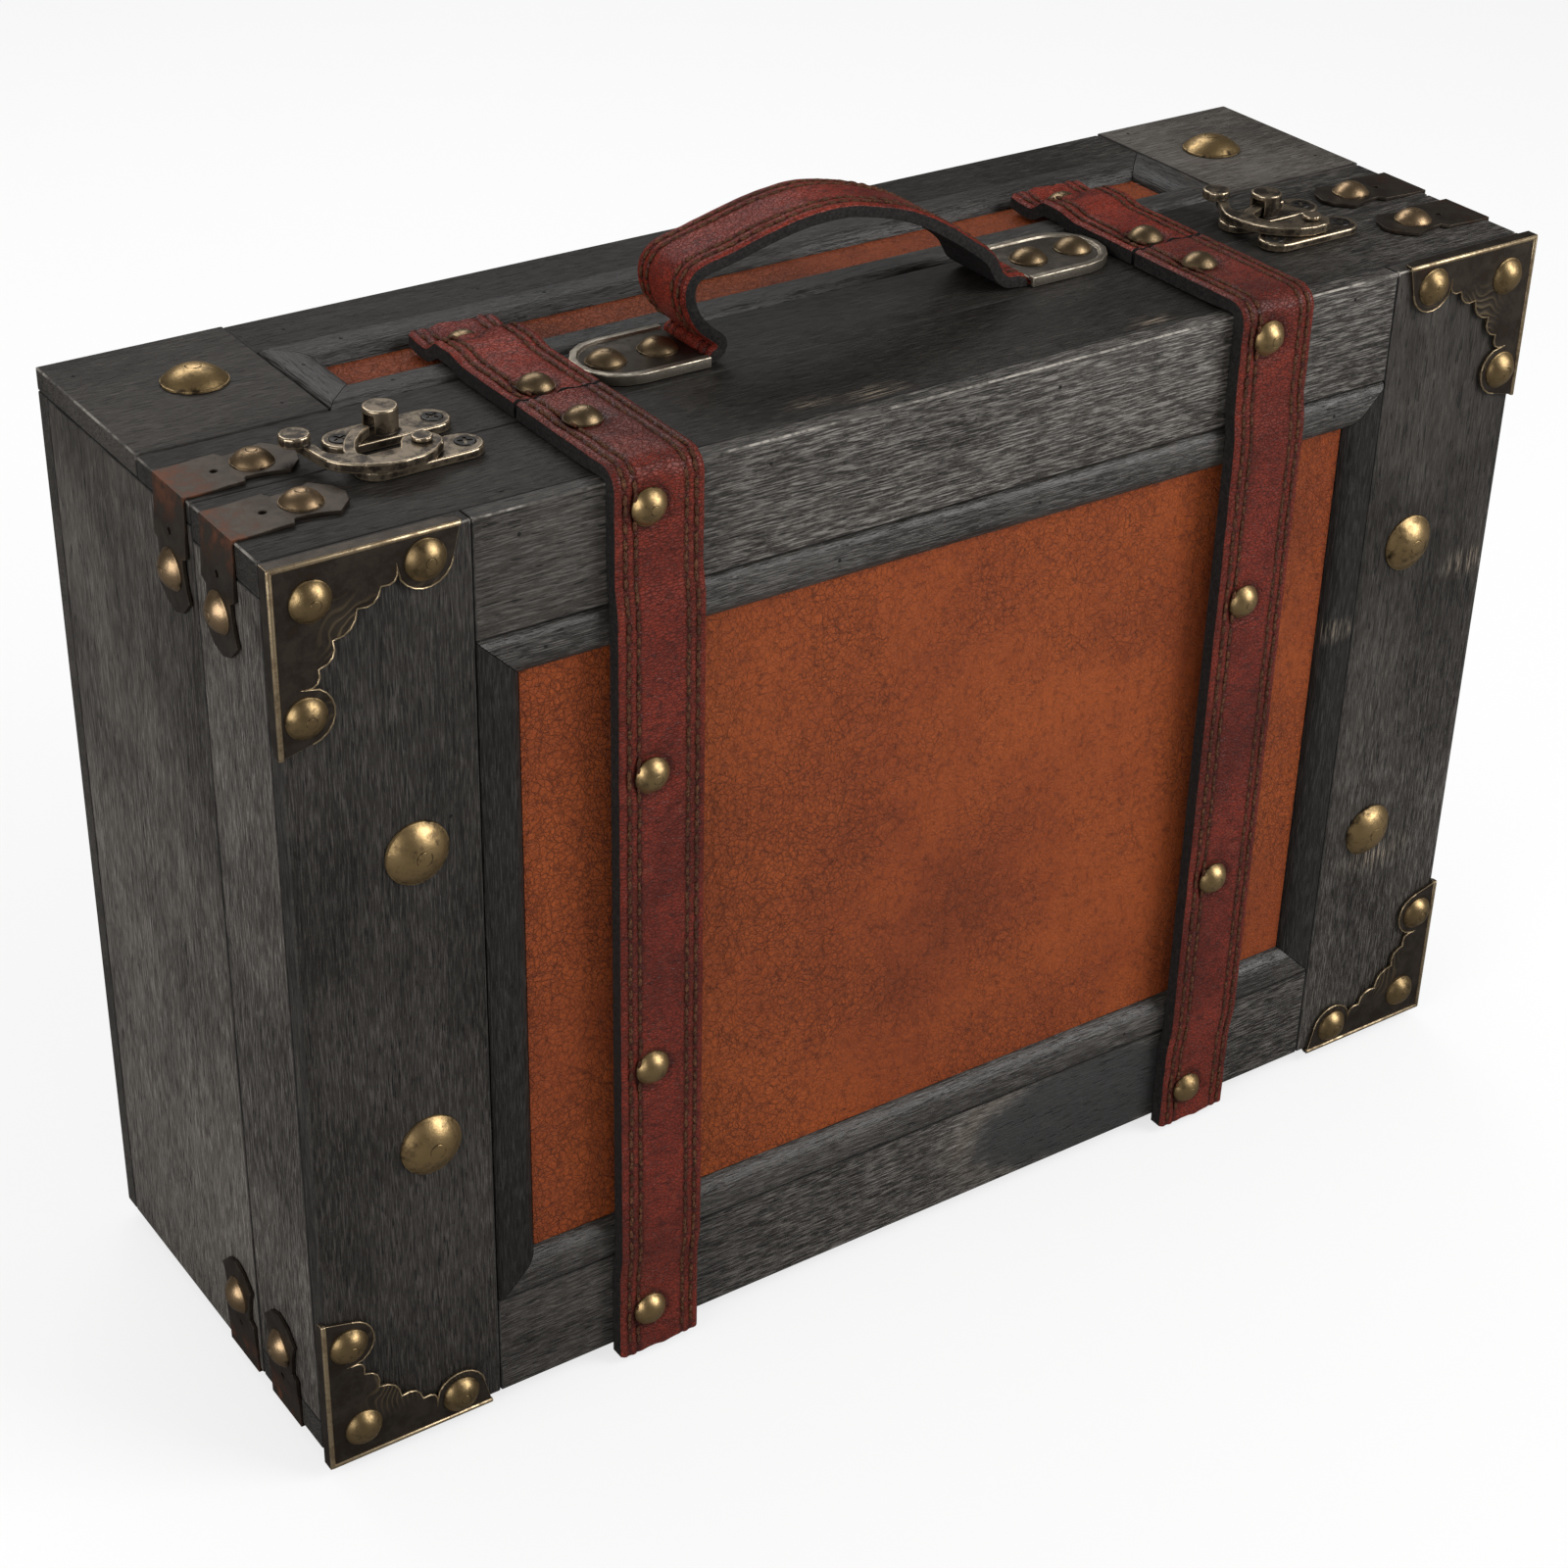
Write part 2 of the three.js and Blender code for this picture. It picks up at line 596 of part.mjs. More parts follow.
// Strap of the lid: over the top edge and down the front, bearing on the two mouldings
function strapGeometry(middleX) {
  const top = caseHeight + seat;
  const face = frontY - seat;
  const crest = face - mouldingCrest;
  const topOuter = caseHeight - topRailHeight;
  const line = [[partingY - tabCutGap, top]].concat(arcPoints(frontY, caseHeight, seat, 90, 180, arcSteps));
  line.push([face, topOuter + mouldingWidth / 4], [crest, topOuter - mouldingWidth / 2]);
  line.push([crest, bottomRailHeight + mouldingWidth / 2], [face, bottomRailHeight - mouldingWidth / 4]);
  line.push([face, -strapBelow]);
  const none = line.map(() => 0);
  const thick = line.map(() => strapThickness);
  const outline = bandOutline(line, thick, none).map(([y, z]) => [y, z]);
  const start = new THREE.Vector3(middleX - strapWidth / 2, 0, 0);
  return outwardFacing(bareGeometry(prism(outline, strapWidth, start, axisY, axisZ)));
}

// Short rear piece of the strap on the base: over the moulding and down into the panel
function tabGeometry(middleX) {
  const top = caseHeight + seat;
  const crest = top + mouldingCrest;
  const floor = top - panelRecess;
  const frameY = topFrameFrontY;
  const panelStart = frameY + topMouldingWidth;
  const flatStart = panelStart + strapBend;
  const endY = topFrameRearY - topMouldingWidth - tabEndClearance;
  const line = [[partingY + tabCutGap, top], [frameY - topMouldingWidth / 4, top]];
  line.push([frameY + topMouldingWidth / 3, crest], [frameY + 4 * topMouldingWidth / 5, crest]);
  line.push([flatStart, floor], [(flatStart + endY) / 2, floor]);
  line.push([endY, floor + tabEndLift]);
  const none = line.map(() => 0);
  const thick = line.map(() => strapThickness);
  const outline = bandOutline(line, none, thick);
  const start = new THREE.Vector3(middleX - strapWidth / 2, 0, 0);
  return outwardFacing(bareGeometry(prism(outline, strapWidth, start, axisY, axisZ)));
}

function straps() {
  const sides = [['left', -strapOffCentre, leftStrapStudHeights], ['right', strapOffCentre, rightStrapStudHeights]];
  const topZ = caseHeight + strapOutside;
  const tabRearZ = topZ - panelRecess;
  for (const [side, x, heights] of sides) {
    const studX = x - strapStudShift;
    const strapStud = (y, z, direction) => stud(studRadius, studHeight, strapStudSunk, studX, y, z, direction);
    const front = heights.map((z, i) => {
      const onRail = i === 0 || i === heights.length - 1;
      const proud = strapOutside + (onRail ? 0 : mouldingCrest);
      return strapStud(frontY - proud, z, frontward);
    });
    const top = strapStud(partingY - strapTopStudFromParting, topZ, upward);
    const tabFront = strapStud(partingY + tabFrontStudFromParting, topZ, upward);
    const tabRear = strapStud(topFrameFrontY + topMouldingWidth + tabRearStudInPanel, tabRearZ, upward);
    add(`${side}_strap`, unite([strapGeometry(x), top].concat(front)), redLeather());
    add(`${side}_strap_tab`, unite([tabGeometry(x), tabFront, tabRear]), redLeather());
  }
}

// Handle leather and the two covers that hold its ends
function handleGeometry() {
  const line = handleShares.map(([x, z]) => [x * handlePlateInner, caseHeight + seat + z * handleRise]);
  const grow = handleThickness - handleEndThickness;
  const reach = handleShares.map(([, , share]) => (handleEndThickness + share * grow) / 2);
  const outline = bandOutline(line, reach, reach);
  const y = partingY + handleFromParting + handleWidth / 2;
  return outwardFacing(bareGeometry(prism(outline, handleWidth, new THREE.Vector3(0, y, 0), axisX, axisZ)));
}

function coverOutline(inset, start) {
  const half = handlePlateWidth / 2;
  const roundX = handlePlateLength - half;
  return [[start, -half + inset]].concat(arcPoints(roundX, 0, half - inset, -90, 90, 2 * arcSteps),
    [[start, half - inset]]);
}

function handlePlate() {
  const body = plate(coverOutline(0, 0), handlePlateRim - seat, caseHeight + seat);
  const recess = plate(coverOutline(handleRimWidth, -overrun), handlePlateRim, caseHeight + handlePlateTop);
  const pocket = plate(coverOutline(handlePlateWall, -overrun), handlePocketHeight + overrun, caseHeight - overrun);
  const studs = handlePlateStudShares.map((share) => stud(studRadius, studHeight,
    (handlePlateTop - handlePocketHeight) / 2, share * handlePlateLength, 0, caseHeight + handlePlateTop, upward));
  return unite([cutBy(body, [recess, pocket])].concat(studs))
    .translate(handlePlateInner, partingY + handleFromParting, 0);
}

function handle() {
  const right = handlePlate();
  add('handle', handleGeometry(), redLeather());
  add('right_handle_plate', right, wornBrass());
  add('left_handle_plate', mirrored(right, -1, 1, 1), wornBrass());
}

// Latch plates: one oval plate with two screws sunk into it, shared by hook and catch
function latchPlateBody() {
  const half = latchPlateWidth / 2;
  const roundX = latchPlateLength / 2 - half;
  const outline = arcPoints(roundX, 0, half, -90, 90, 2 * arcSteps)
    .concat(arcPoints(-roundX, 0, half, 90, 270, 2 * arcSteps));
  const top = seat + latchPlateThickness;
  const floor = top - latchScrewSink;
  const screwXs = [-latchScrewSpacing / 2, latchScrewSpacing / 2];
  const sinks = screwXs.map((x) => disc(latchScrewRadius + latchScrewGap, studSides, x, 0, floor, top + overrun));
  const heads = screwXs.map((x) => disc(latchScrewRadius, studSides, x, 0, floor - seat, top));
  return unite([cutBy(plate(outline, latchPlateThickness, seat), sinks)].concat(heads));
}

function disc(radius, sides, x, y, z0, z1) {
  const cylinder = new THREE.CylinderGeometry(radius, radius, z1 - z0, sides);
  return cylinder.rotateX(Math.PI / 2).translate(x, y, (z0 + z1) / 2);
}

const pivotSides = 24;
const hookUnder = seat + latchPlateThickness + hookRunningGap;
const hookTop = hookUnder + hookThickness;

function hookPlateGeometry() {
  const headUnder = hookTop + hookRunningGap;
  const shank = disc(pivotRadius, pivotSides, pivotShift, 0, seat, headUnder + pivotHeadHeight / 2);
  const head = disc(pivotHeadRadius, studSides, pivotShift, 0, headUnder, headUnder + pivotHeadHeight);
  return unite([latchPlateBody(), shank, head]);
}

// Catch: a post with a curved slot through it, which the claw sweeps along as the hook turns
function catchPlateGeometry() {
  const x = pivotShift - postShift;
  const post = disc(postRadius, pivotSides, x, 0, seat + latchPlateThickness / 2, postHeight);
  const reach = clawHalfWidth + clawClearance;
  const [from, to] = slotAngles;
  const far = arcPoints(pivotShift, -postReach, Math.max(...clawRadii.slice(2)) + reach, from, to, 4 * arcSteps);
  const near = arcPoints(pivotShift, -postReach, Math.min(...clawRadii) - reach, to, from, 4 * arcSteps);
  const under = seat + latchPlateThickness;
  const slot = plate(far.concat(near), postHeight - postCap - under, under);
  return cutBy(unite([latchPlateBody(), post]), [outwardFacing(bareGeometry(slot))]);
}

// Swing hook with its pivot at zero, swung part way out
function hookGeometry() {
  const clawLine = clawAngles.map((degrees, i) => {
    const angle = THREE.MathUtils.degToRad(degrees);
    return [clawRadii[i] * Math.cos(angle), clawRadii[i] * Math.sin(angle)];
  });
  const reach = clawLine.map(() => clawHalfWidth);
  const boss = arcPoints(0, 0, hookBossRadius, 150, -40, 2 * arcSteps);
  const arm = boss.concat(hookOuterEdge, [hookThumb], hookInnerEdge, hookCrook).reverse();
  const armSolid = plate(arm, hookThickness, hookUnder);
  const clawSolid = plate(bandOutline(clawLine, reach, reach), hookThickness, hookUnder);
  const thumb = disc(thumbRadius, studSides, hookThumb[0], hookThumb[1], hookUnder + thumbLift, hookTop + thumbLift);
  const boreRadius = (pivotRadius + pivotClearance) / Math.cos(Math.PI / pivotSides);
  const bore = disc(boreRadius, pivotSides, 0, 0, 0, 2 * hookTop);
  const body = unite([armSolid, outwardFacing(bareGeometry(clawSolid)), thumb]);
  return cutBy(body, [bore]);
}

function latches() {
  const hookY = partingY - hookLineFromParting;
  const catchY = hookY + postReach;
  const turns = { left: 0, right: -THREE.MathUtils.degToRad(rightHookTurn) };
  for (const [side, sign] of [['left', -1], ['right', 1]]) {
    const x = sign * latchOffCentre;
    add(`${side}_hook_plate`, hookPlateGeometry().translate(x, hookY, caseHeight), wornBrass());
    add(`${side}_catch_plate`, catchPlateGeometry().translate(x, catchY, caseHeight), wornBrass());
    const hook = hookGeometry().rotateZ(turns[side]).translate(x + pivotShift, hookY, caseHeight);
    add(`${side}_hook`, hook, wornBrass());
  }
}

// Butt hinges: barrels under the parting line, leaves on the undersides of the two halves
function barrel(radius, x0, x1) {
  const cylinder = new THREE.CylinderGeometry(radius, radius, x1 - x0, barrelSides);
  return cylinder.rotateZ(Math.PI / 2).translate((x0 + x1) / 2, partingY, hingePinZ);
}

function leafBlock(x0, x1, near, far, direction) {
  const ys = [partingY + direction * near, partingY + direction * far].sort((a, b) => a - b);
  return block(x0, x1, ys[0], ys[1], -seat - hingeLeafThickness, -seat);
}

function hingeLeaf(spans, direction) {
  const pieces = [leafBlock(-hingeLength / 2, hingeLength / 2, knuckleRadius + knuckleGap, hingeLeafWidth, direction)];
  for (const [x0, x1] of spans) {
    pieces.push(barrel(knuckleRadius, x0, x1), leafBlock(x0, x1, 0, 2 * knuckleRadius, direction));
  }
  for (const x of [-hingeScrewSpacing / 2, hingeScrewSpacing / 2]) {
    pieces.push(stud(hingeScrewRadius, hingeScrewHeight, hingeLeafThickness / 2, x,
      partingY + direction * hingeScrewFromPin, -seat - hingeLeafThickness, downward));
  }
  return unite(pieces);
}

// The base's leaf carries the pin, and the lid's knuckle turns on it
function hinges() {
  const end = hingeLength / 2;
  const inner = hingeLength / 6;
  const half = knuckleGap / 2;
  const pin = barrel(hingePinRadius, -end, end);
  const baseLeaf = unite([hingeLeaf([[-end, -inner - half], [inner + half, end]], 1), pin]);
  const lidLeaf = cutBy(hingeLeaf([[-inner + half, inner - half]], -1), [barrel(hingeBore, -end, end)]);
  for (const [side, x] of [['left', -hingeOffCentre], ['right', hingeOffCentre]]) {
    add(`${side}_hinge_base_leaf`, baseLeaf.clone().translate(x, 0, 0), wornBrass());
    add(`${side}_hinge_lid_leaf`, lidLeaf.clone().translate(x, 0, 0), wornBrass());
  }
}

baseBoards();
baseTopFace();
lidBoards();
lidFrontFace();
cornerIrons();
brackets('base', partingY + baseBracketFromParting);
brackets('lid', partingY - lidBracketFromParting);
largeStuds();
straps();
handle();
latches();
hinges();

// Stand the case on its feet, with the origin under the middle of its bounding box
const bounds = new THREE.Box3().setFromObject(caseParts);
const middle = bounds.getCenter(new THREE.Vector3());
caseParts.position.set(-middle.x, -middle.y, -bounds.min.z);

const suitcase = new THREE.Group();
suitcase.add(caseParts);

export default suitcase;
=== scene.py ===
import json
import math
import random

import bmesh
import bpy
from mathutils import Matrix, Vector, noise

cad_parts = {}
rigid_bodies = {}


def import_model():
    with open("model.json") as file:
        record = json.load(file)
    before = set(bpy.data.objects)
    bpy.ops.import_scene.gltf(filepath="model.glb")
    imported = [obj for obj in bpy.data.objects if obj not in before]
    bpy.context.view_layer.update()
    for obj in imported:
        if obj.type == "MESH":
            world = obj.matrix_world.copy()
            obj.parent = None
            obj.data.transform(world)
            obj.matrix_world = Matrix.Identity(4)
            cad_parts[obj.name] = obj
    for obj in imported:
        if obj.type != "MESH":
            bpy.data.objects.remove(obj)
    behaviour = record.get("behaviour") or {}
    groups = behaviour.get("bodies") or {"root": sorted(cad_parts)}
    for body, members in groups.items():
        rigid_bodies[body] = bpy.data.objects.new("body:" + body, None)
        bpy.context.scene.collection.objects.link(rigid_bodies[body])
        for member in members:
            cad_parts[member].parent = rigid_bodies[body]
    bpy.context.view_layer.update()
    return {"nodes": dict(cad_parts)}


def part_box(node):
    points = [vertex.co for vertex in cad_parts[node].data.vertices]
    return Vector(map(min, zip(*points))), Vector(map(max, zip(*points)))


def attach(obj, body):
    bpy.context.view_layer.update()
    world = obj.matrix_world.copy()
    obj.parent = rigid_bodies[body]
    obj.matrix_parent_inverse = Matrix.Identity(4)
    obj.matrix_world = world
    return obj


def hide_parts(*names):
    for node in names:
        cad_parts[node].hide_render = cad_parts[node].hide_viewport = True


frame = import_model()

random.seed(7)
for thing in bpy.data.objects:
    thing.select_set(False)
print("frame loaded")

# Pieces are modelled in millimetres from the middle of the wooden box at its underside.
# finishPiece then turns them to metres and sets them on the case's feet.
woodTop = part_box("lid_top_board")[1].z
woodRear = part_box("base_back_panel")[1].y
case = {"length": 350.0, "depth": 117.0, "height": 235.0, "parting": -22.0}
toRow = (Matrix.Translation((0, woodRear - case["depth"] / 2000, woodTop - case["height"] / 1000))
         @ Matrix.Scale(0.001, 4))
toCase = toRow.inverted()
frontY = -case["depth"] / 2
halfLength = case["length"] / 2
collection = bpy.context.scene.collection


# the camera was fitted to the corners of the box in the photograph; the aim is in the case's millimetres
shot = {"azimuth": -34.927, "elevation": 31.082, "roll": 1.449, "distance": 789.3, "right": -8.13,
        "up": -14.48, "focalPixels": 3130.5, "imagePixels": 1600, "aim": (0, 0, 117.5), "sensor": 36}


def makeCamera():
    az, el, roll = (math.radians(shot[key]) for key in ("azimuth", "elevation", "roll"))
    back = Vector((math.sin(az) * math.cos(el), -math.cos(az) * math.cos(el), math.sin(el)))
    right = Vector((math.cos(az), math.sin(az), 0))
    up = back.cross(right)
    right, up = math.cos(roll) * right + math.sin(roll) * up, math.cos(roll) * up - math.sin(roll) * right
    place = Vector(shot["aim"]) + back * shot["distance"] + right * shot["right"] + up * shot["up"]
    data = bpy.data.cameras.new("camera")
    data.sensor_width = shot["sensor"]
    data.lens = shot["focalPixels"] / shot["imagePixels"] * shot["sensor"]
    data.clip_start = 0.01
    data.clip_end = 20
    camera = bpy.data.objects.new("camera", data)
    collection.objects.link(camera)
    turn = Matrix((right, up, back)).transposed().to_4x4()
    camera.matrix_world = Matrix.Translation(toRow @ place) @ turn
    bpy.context.scene.camera = camera


makeCamera()
print("camera placed")


# sums on shader sockets are written as Python sums
class Wire:
    def __init__(self, shader, out):
        self.shader = shader
        self.out = out

    def sum(self, operation, *others):
        sockets = {i: v for i, v in enumerate((self,) + others)}
        return self.shader.add("ShaderNodeMath", {"operation": operation}, sockets)

    def __add__(self, other):
        return self.sum("ADD", other)

    __radd__ = __add__

    def __sub__(self, other):
        return self.sum("SUBTRACT", other)

    def __rsub__(self, other):
        return self.shader.add("ShaderNodeMath", {"operation": "SUBTRACT"}, {0: other, 1: self})

    def __mul__(self, other):
        return self.sum("MULTIPLY", other)

    __rmul__ = __mul__

    def clipped(self):
        return self.sum("MINIMUM", 1.0).sum("MAXIMUM", 0.0)

    def band(self, low, high):
        sockets = {"Value": self, "From Min": low, "From Max": high}
        return self.shader.add("ShaderNodeMapRange", {"interpolation_type": "SMOOTHSTEP"}, sockets)


class Shader:
    def __init__(self, owner):
        # owner is the world, or the name for a new material
        self.owner = bpy.data.materials.new(owner) if isinstance(owner, str) else owner
        self.owner.use_nodes = True
        self.tree = self.owner.node_tree
        self.tree.nodes.clear()
        self.coordinates = None

    def add(self, kind, settings=None, sockets=None, output=0):
        node = self.tree.nodes.new(kind)
        for key, value in (settings or {}).items():
            setattr(node, key, value)
        for key, value in (sockets or {}).items():
            self.plug(node, key, value)
        return Wire(self, node.outputs[output])

    def plug(self, node, key, value):
        if isinstance(value, Wire):
            self.tree.links.new(value.out, node.inputs[key])
        elif isinstance(value, tuple) and len(value) == 3 and node.inputs[key].type == "RGBA":
            node.inputs[key].default_value = (*value, 1.0)
        else:
            node.inputs[key].default_value = value

    def place(self, scale=(1, 1, 1), shift=(0, 0, 0)):
        if self.coordinates is None:
            self.coordinates = self.add("ShaderNodeTexCoord", output="Object")
        sockets = {"Vector": self.coordinates, "Scale": scale, "Location": shift}
        return self.add("ShaderNodeMapping", None, sockets)

    def noise(self, where, scale=1.0, detail=3.0, roughness=0.55, distortion=0.0, output="Fac"):
        sockets = {"Vector": where, "Scale": scale, "Detail": detail, "Roughness": roughness,
                   "Distortion": distortion}
        return self.add("ShaderNodeTexNoise", None, sockets, output)

    def noises(self, where, *rows):
        # each row is scale, detail and roughness
        return (self.noise(where, *row) for row in rows)

    def cells(self, where, scale):
        sockets = {"Vector": where, "Scale": scale}
        return self.add("ShaderNodeTexVoronoi", {"feature": "DISTANCE_TO_EDGE"}, sockets, "Distance")

    def part(self, where, axis):
        return self.add("ShaderNodeSeparateXYZ", None, {0: where}, axis)

    def mix(self, share, a, b):
        sockets = {0: share, 6: a, 7: b}
        return self.add("ShaderNodeMix", {"data_type": "RGBA"}, sockets, 2)

    def layered(self, colour, layers):
        # each layer covers the ones under it by its share
        for share, paint in layers:
            colour = self.mix(share, colour, paint)
        return colour

    def nudged(self, where, by, amount):
        moved = self.add("ShaderNodeVectorMath", {"operation": "SCALE"}, {0: by, "Scale": amount})
        return self.add("ShaderNodeVectorMath", {"operation": "ADD"}, {0: where, 1: moved})

    def mark(self, name):
        return self.add("ShaderNodeAttribute", {"attribute_name": name}, output="Fac")

    def surface(self, fixed, relief, **varied):
        # relief is height, distance and strength of the bump
        node = self.tree.nodes.new("ShaderNodeBsdfPrincipled")
        names = {"colour": "Base Color", "rough": "Roughness", "metal": "Metallic", "normal": "Normal"}
        if relief:
            sockets = dict(zip(("Height", "Distance", "Strength"), relief))
            varied["normal"] = self.add("ShaderNodeBump", None, sockets, "Normal")
        for key, value in fixed.items():
            node.inputs[key].default_value = value
        for key, value in varied.items():
            self.plug(node, names[key], value)
        return self.shown(Wire(self, node.outputs[0]))

    def shown(self, wire, kind="ShaderNodeOutputMaterial"):
        self.tree.links.new(wire.out, self.tree.nodes.new(kind).inputs[0])
        return self.owner


stain = {"dark": (0.0112, 0.0092, 0.0073), "mid": (0.0330, 0.0284, 0.0240), "brushed": (0.235, 0.216, 0.196),
         "fibre": (3000.0, 190.0), "hair": (2200.0, 95.0), "pore": (2200.0, 180.0), "band": (160.0, 12.0),
         "edge": (0.37, 0.34, 0.30), "black": (0.0042, 0.0040, 0.0037), "worn": (0.200, 0.160, 0.118),
         "knot": (0.0290, 0.0290, 0.0285), "edgeBand": (0.0006, 0.0012)}


def stainedWood(name, grain, seed, brushing, lift, gloss, spots=(), knots=(), fade=None):
    # brushing is how much of the pale scratches shows, lift how pale the stain is under them.
    # Spots are scuffed to the bare wood, knots are smooth and dark; both are drawn out along X, in metres.
    # fade takes scratches away along an axis, from a place to a place, by a share
    shader = Shader(name)
    shift = (seed * 3.1, seed * 5.3, seed * 7.7)
    where = shader.place()
    stretch = (0.45, 1, 1)

    def drawn(key, detail, roughness=0.55):
        across, along = stain[key]
        scale = tuple(along if axis == grain else across for axis in "xyz")
        return shader.noise(shader.place(scale, shift), 1, detail, roughness)

    def reach(x, y, z):
        sockets = {0: shader.place(stretch), 1: (x * stretch[0], y, z)}
        return shader.add("ShaderNodeVectorMath", {"operation": "DISTANCE"}, sockets, "Value")

    cloud = shader.noise(shader.place((13, 13, 13), shift), detail=5, roughness=0.6)
    blotch = shader.noise(shader.place((58, 58, 58), shift), detail=4, roughness=0.64, distortion=0.5)
    board, fibre, hair = drawn("band", 3, 0.6), drawn("fibre", 2, 0.6), drawn("hair", 3, 0.66)
    dust = shader.noise(shader.place((1, 1, 1), shift), 1450, detail=2)
    pores = drawn("pore", 1).band(0.60, 0.70)
    lines = fibre.band(0.45, 0.68) * 0.85 + hair.band(0.48, 0.70) * 0.45 + dust.band(0.50, 0.74) * 0.2
    cover = (cloud.band(0.30, 0.62) * 0.35 + 0.65) * (blotch.band(0.32, 0.60) * 0.15 + 0.85)
    rubbed = (lines * cover * (board.band(0.35, 0.6) * 0.15 + 0.85)).clipped()
    if fade:
        axis, start, stop, share = fade
        faded = shader.part(where, axis).band(start, stop)
        rubbed = rubbed * (1 - faded * share)
    tone = (cloud * 0.75 + board * 0.25).band(0.34, 0.64)
    dark = tuple(v * (0.5 + lift / 2) for v in stain["dark"])
    base = shader.mix(tone, dark, tuple(v * lift for v in stain["mid"]))
    colour = shader.mix((rubbed * brushing).clipped(), base, stain["brushed"])
    for x, y, z, size in knots:
        far = reach(x, y, z) + (blotch - 0.5) * size * 0.4
        colour = shader.mix(far.band(size, size * 0.7) * 0.92, colour, stain["knot"])
        ring = far.band(size * 0.78, size) * far.band(size * 1.25, size)
        colour = shader.mix(ring * cloud.band(0.40, 0.6) * 0.2, colour, stain["worn"])
    for x, y, z, size in spots:
        share = reach(x, y, z).band(size, 0) * (hair.band(0.44, 0.60) * fibre.band(0.35, 0.60))
        colour = shader.mix(share.clipped(), colour, stain["worn"])
    colour = shader.mix(pores * 0.7, colour, stain["black"])
    rough = rubbed * 0.14 + cloud * 0.12 + (0.56 - gloss * 0.45)
    relief = fibre * 0.7 + hair * 0.6 - pores * 0.6 + rubbed * 0.3
    return shader.surface({"Specular IOR Level": gloss}, (relief, 0.0002, 0.8), colour=colour, rough=rough)


def rubbedEdge(name):
    # the edges round the front and the ends of the top are rubbed light, the joints between boards stay dark
    shader = Shader(name)
    patch = shader.noise(shader.place((70, 70, 70)), detail=4, roughness=0.7)
    fleck = shader.noise(shader.place((520, 520, 520)), detail=2)
    where = shader.place()
    x, y, z = (shader.part(where, axis) for axis in "XYZ")
    near, far = stain["edgeBand"]
    level = z.band(woodTop - far, woodTop - near)
    face = toRow.translation.y - case["depth"] / 2000
    front = y.band(face + far, face + near)
    end = x.sum("ABSOLUTE").band(halfLength / 1000 - far, halfLength / 1000 - near)
    outer = (level * (front * 0.9 + end * 0.5)).clipped() * 0.9 + 0.06
    worn = (patch.band(0.40, 0.60) * 0.8 + 0.2) * (fleck.band(0.30, 0.55) * 0.6 + 0.4) * outer
    colour = shader.mix(worn.clipped(), (0.016, 0.0142, 0.0128), stain["edge"])
    return shader.surface({"Specular IOR Level": 0.2}, None, colour=colour, rough=0.6 + fleck * 0.1)


# the last colour here is the painted shade along the seam grooves and round the studs of the straps
hide = {"orange": (0.262, 0.056, 0.0120), "brown": (0.178, 0.034, 0.0098), "bright": (0.340, 0.084, 0.0150),
        "stain": (0.072, 0.0165, 0.0075), "crack": (0.028, 0.0085, 0.0055), "speck": (0.34, 0.100, 0.026),
        "crease": (0.036, 0.0070, 0.0050), "scuff": (0.22, 0.052, 0.028), "paintedShade": (0.018, 0.0052, 0.0040)}


def orangeLeather():
    shader = Shader("orangeLeather")
    where = shader.place()
    swirl = shader.noise(where, 150, detail=4, output="Color")
    large = shader.cells(shader.nudged(where, swirl, 0.0065), 290)
    small = shader.cells(shader.nudged(where, swirl, 0.0045), 560)
    tiny = shader.cells(shader.nudged(where, swirl, 0.003), 1050)
    patch = shader.noise(shader.place((1, 1, 1), (0.31, 0, 0.12)), 21, detail=5, roughness=0.65)
    mottle = shader.noise(shader.place((1, 1, 1), (1.7, 0.4, 0)), 15, detail=6, roughness=0.66)
    blotch = shader.noise(shader.place((1, 1, 1), (4.7, 0.4, 2)), 48, detail=6, roughness=0.70)
    speck, grain = shader.noises(where, (950, 3, 0.75), (420, 5, 0.7))
    leftward = shader.part(where, "X").band(0.05, -0.125)
    strength = (patch.band(0.40, 0.60) * 0.45 + leftward * 0.45 + 0.30).clipped()
    crack = (1 - large.band(0.0, 0.045)) * 0.62 * strength + (1 - small.band(0.0, 0.085)) * 0.65 * strength
    crack = (crack + (1 - tiny.band(0.0, 0.14)) * (patch.band(0.35, 0.6) * 0.14 + 0.24)).clipped()
    colour = shader.layered(hide["orange"], (
        ((mottle * 0.6 + blotch * 0.4).band(0.38, 0.62) * 0.7, hide["brown"]),
        (blotch.band(0.55, 0.76) * 0.2, hide["bright"]),
        (mottle.band(0.58, 0.74) * blotch.band(0.35, 0.6) * 0.42, hide["stain"]),
        (speck.band(0.56, 0.74) * 0.3, hide["speck"]),
        (grain.band(0.50, 0.66) * 0.45, hide["stain"]),
        ((1 - speck.band(0.28, 0.42)) * 0.35, hide["stain"]),
        (crack * 0.64, hide["crack"])))
    rough = 0.48 + crack * 0.2 - mottle * 0.06
    relief = (speck * 0.35 - crack + grain * 0.9, 0.00028, 0.85)
    return shader.surface({"Specular IOR Level": 0.16}, relief, colour=colour, rough=rough)


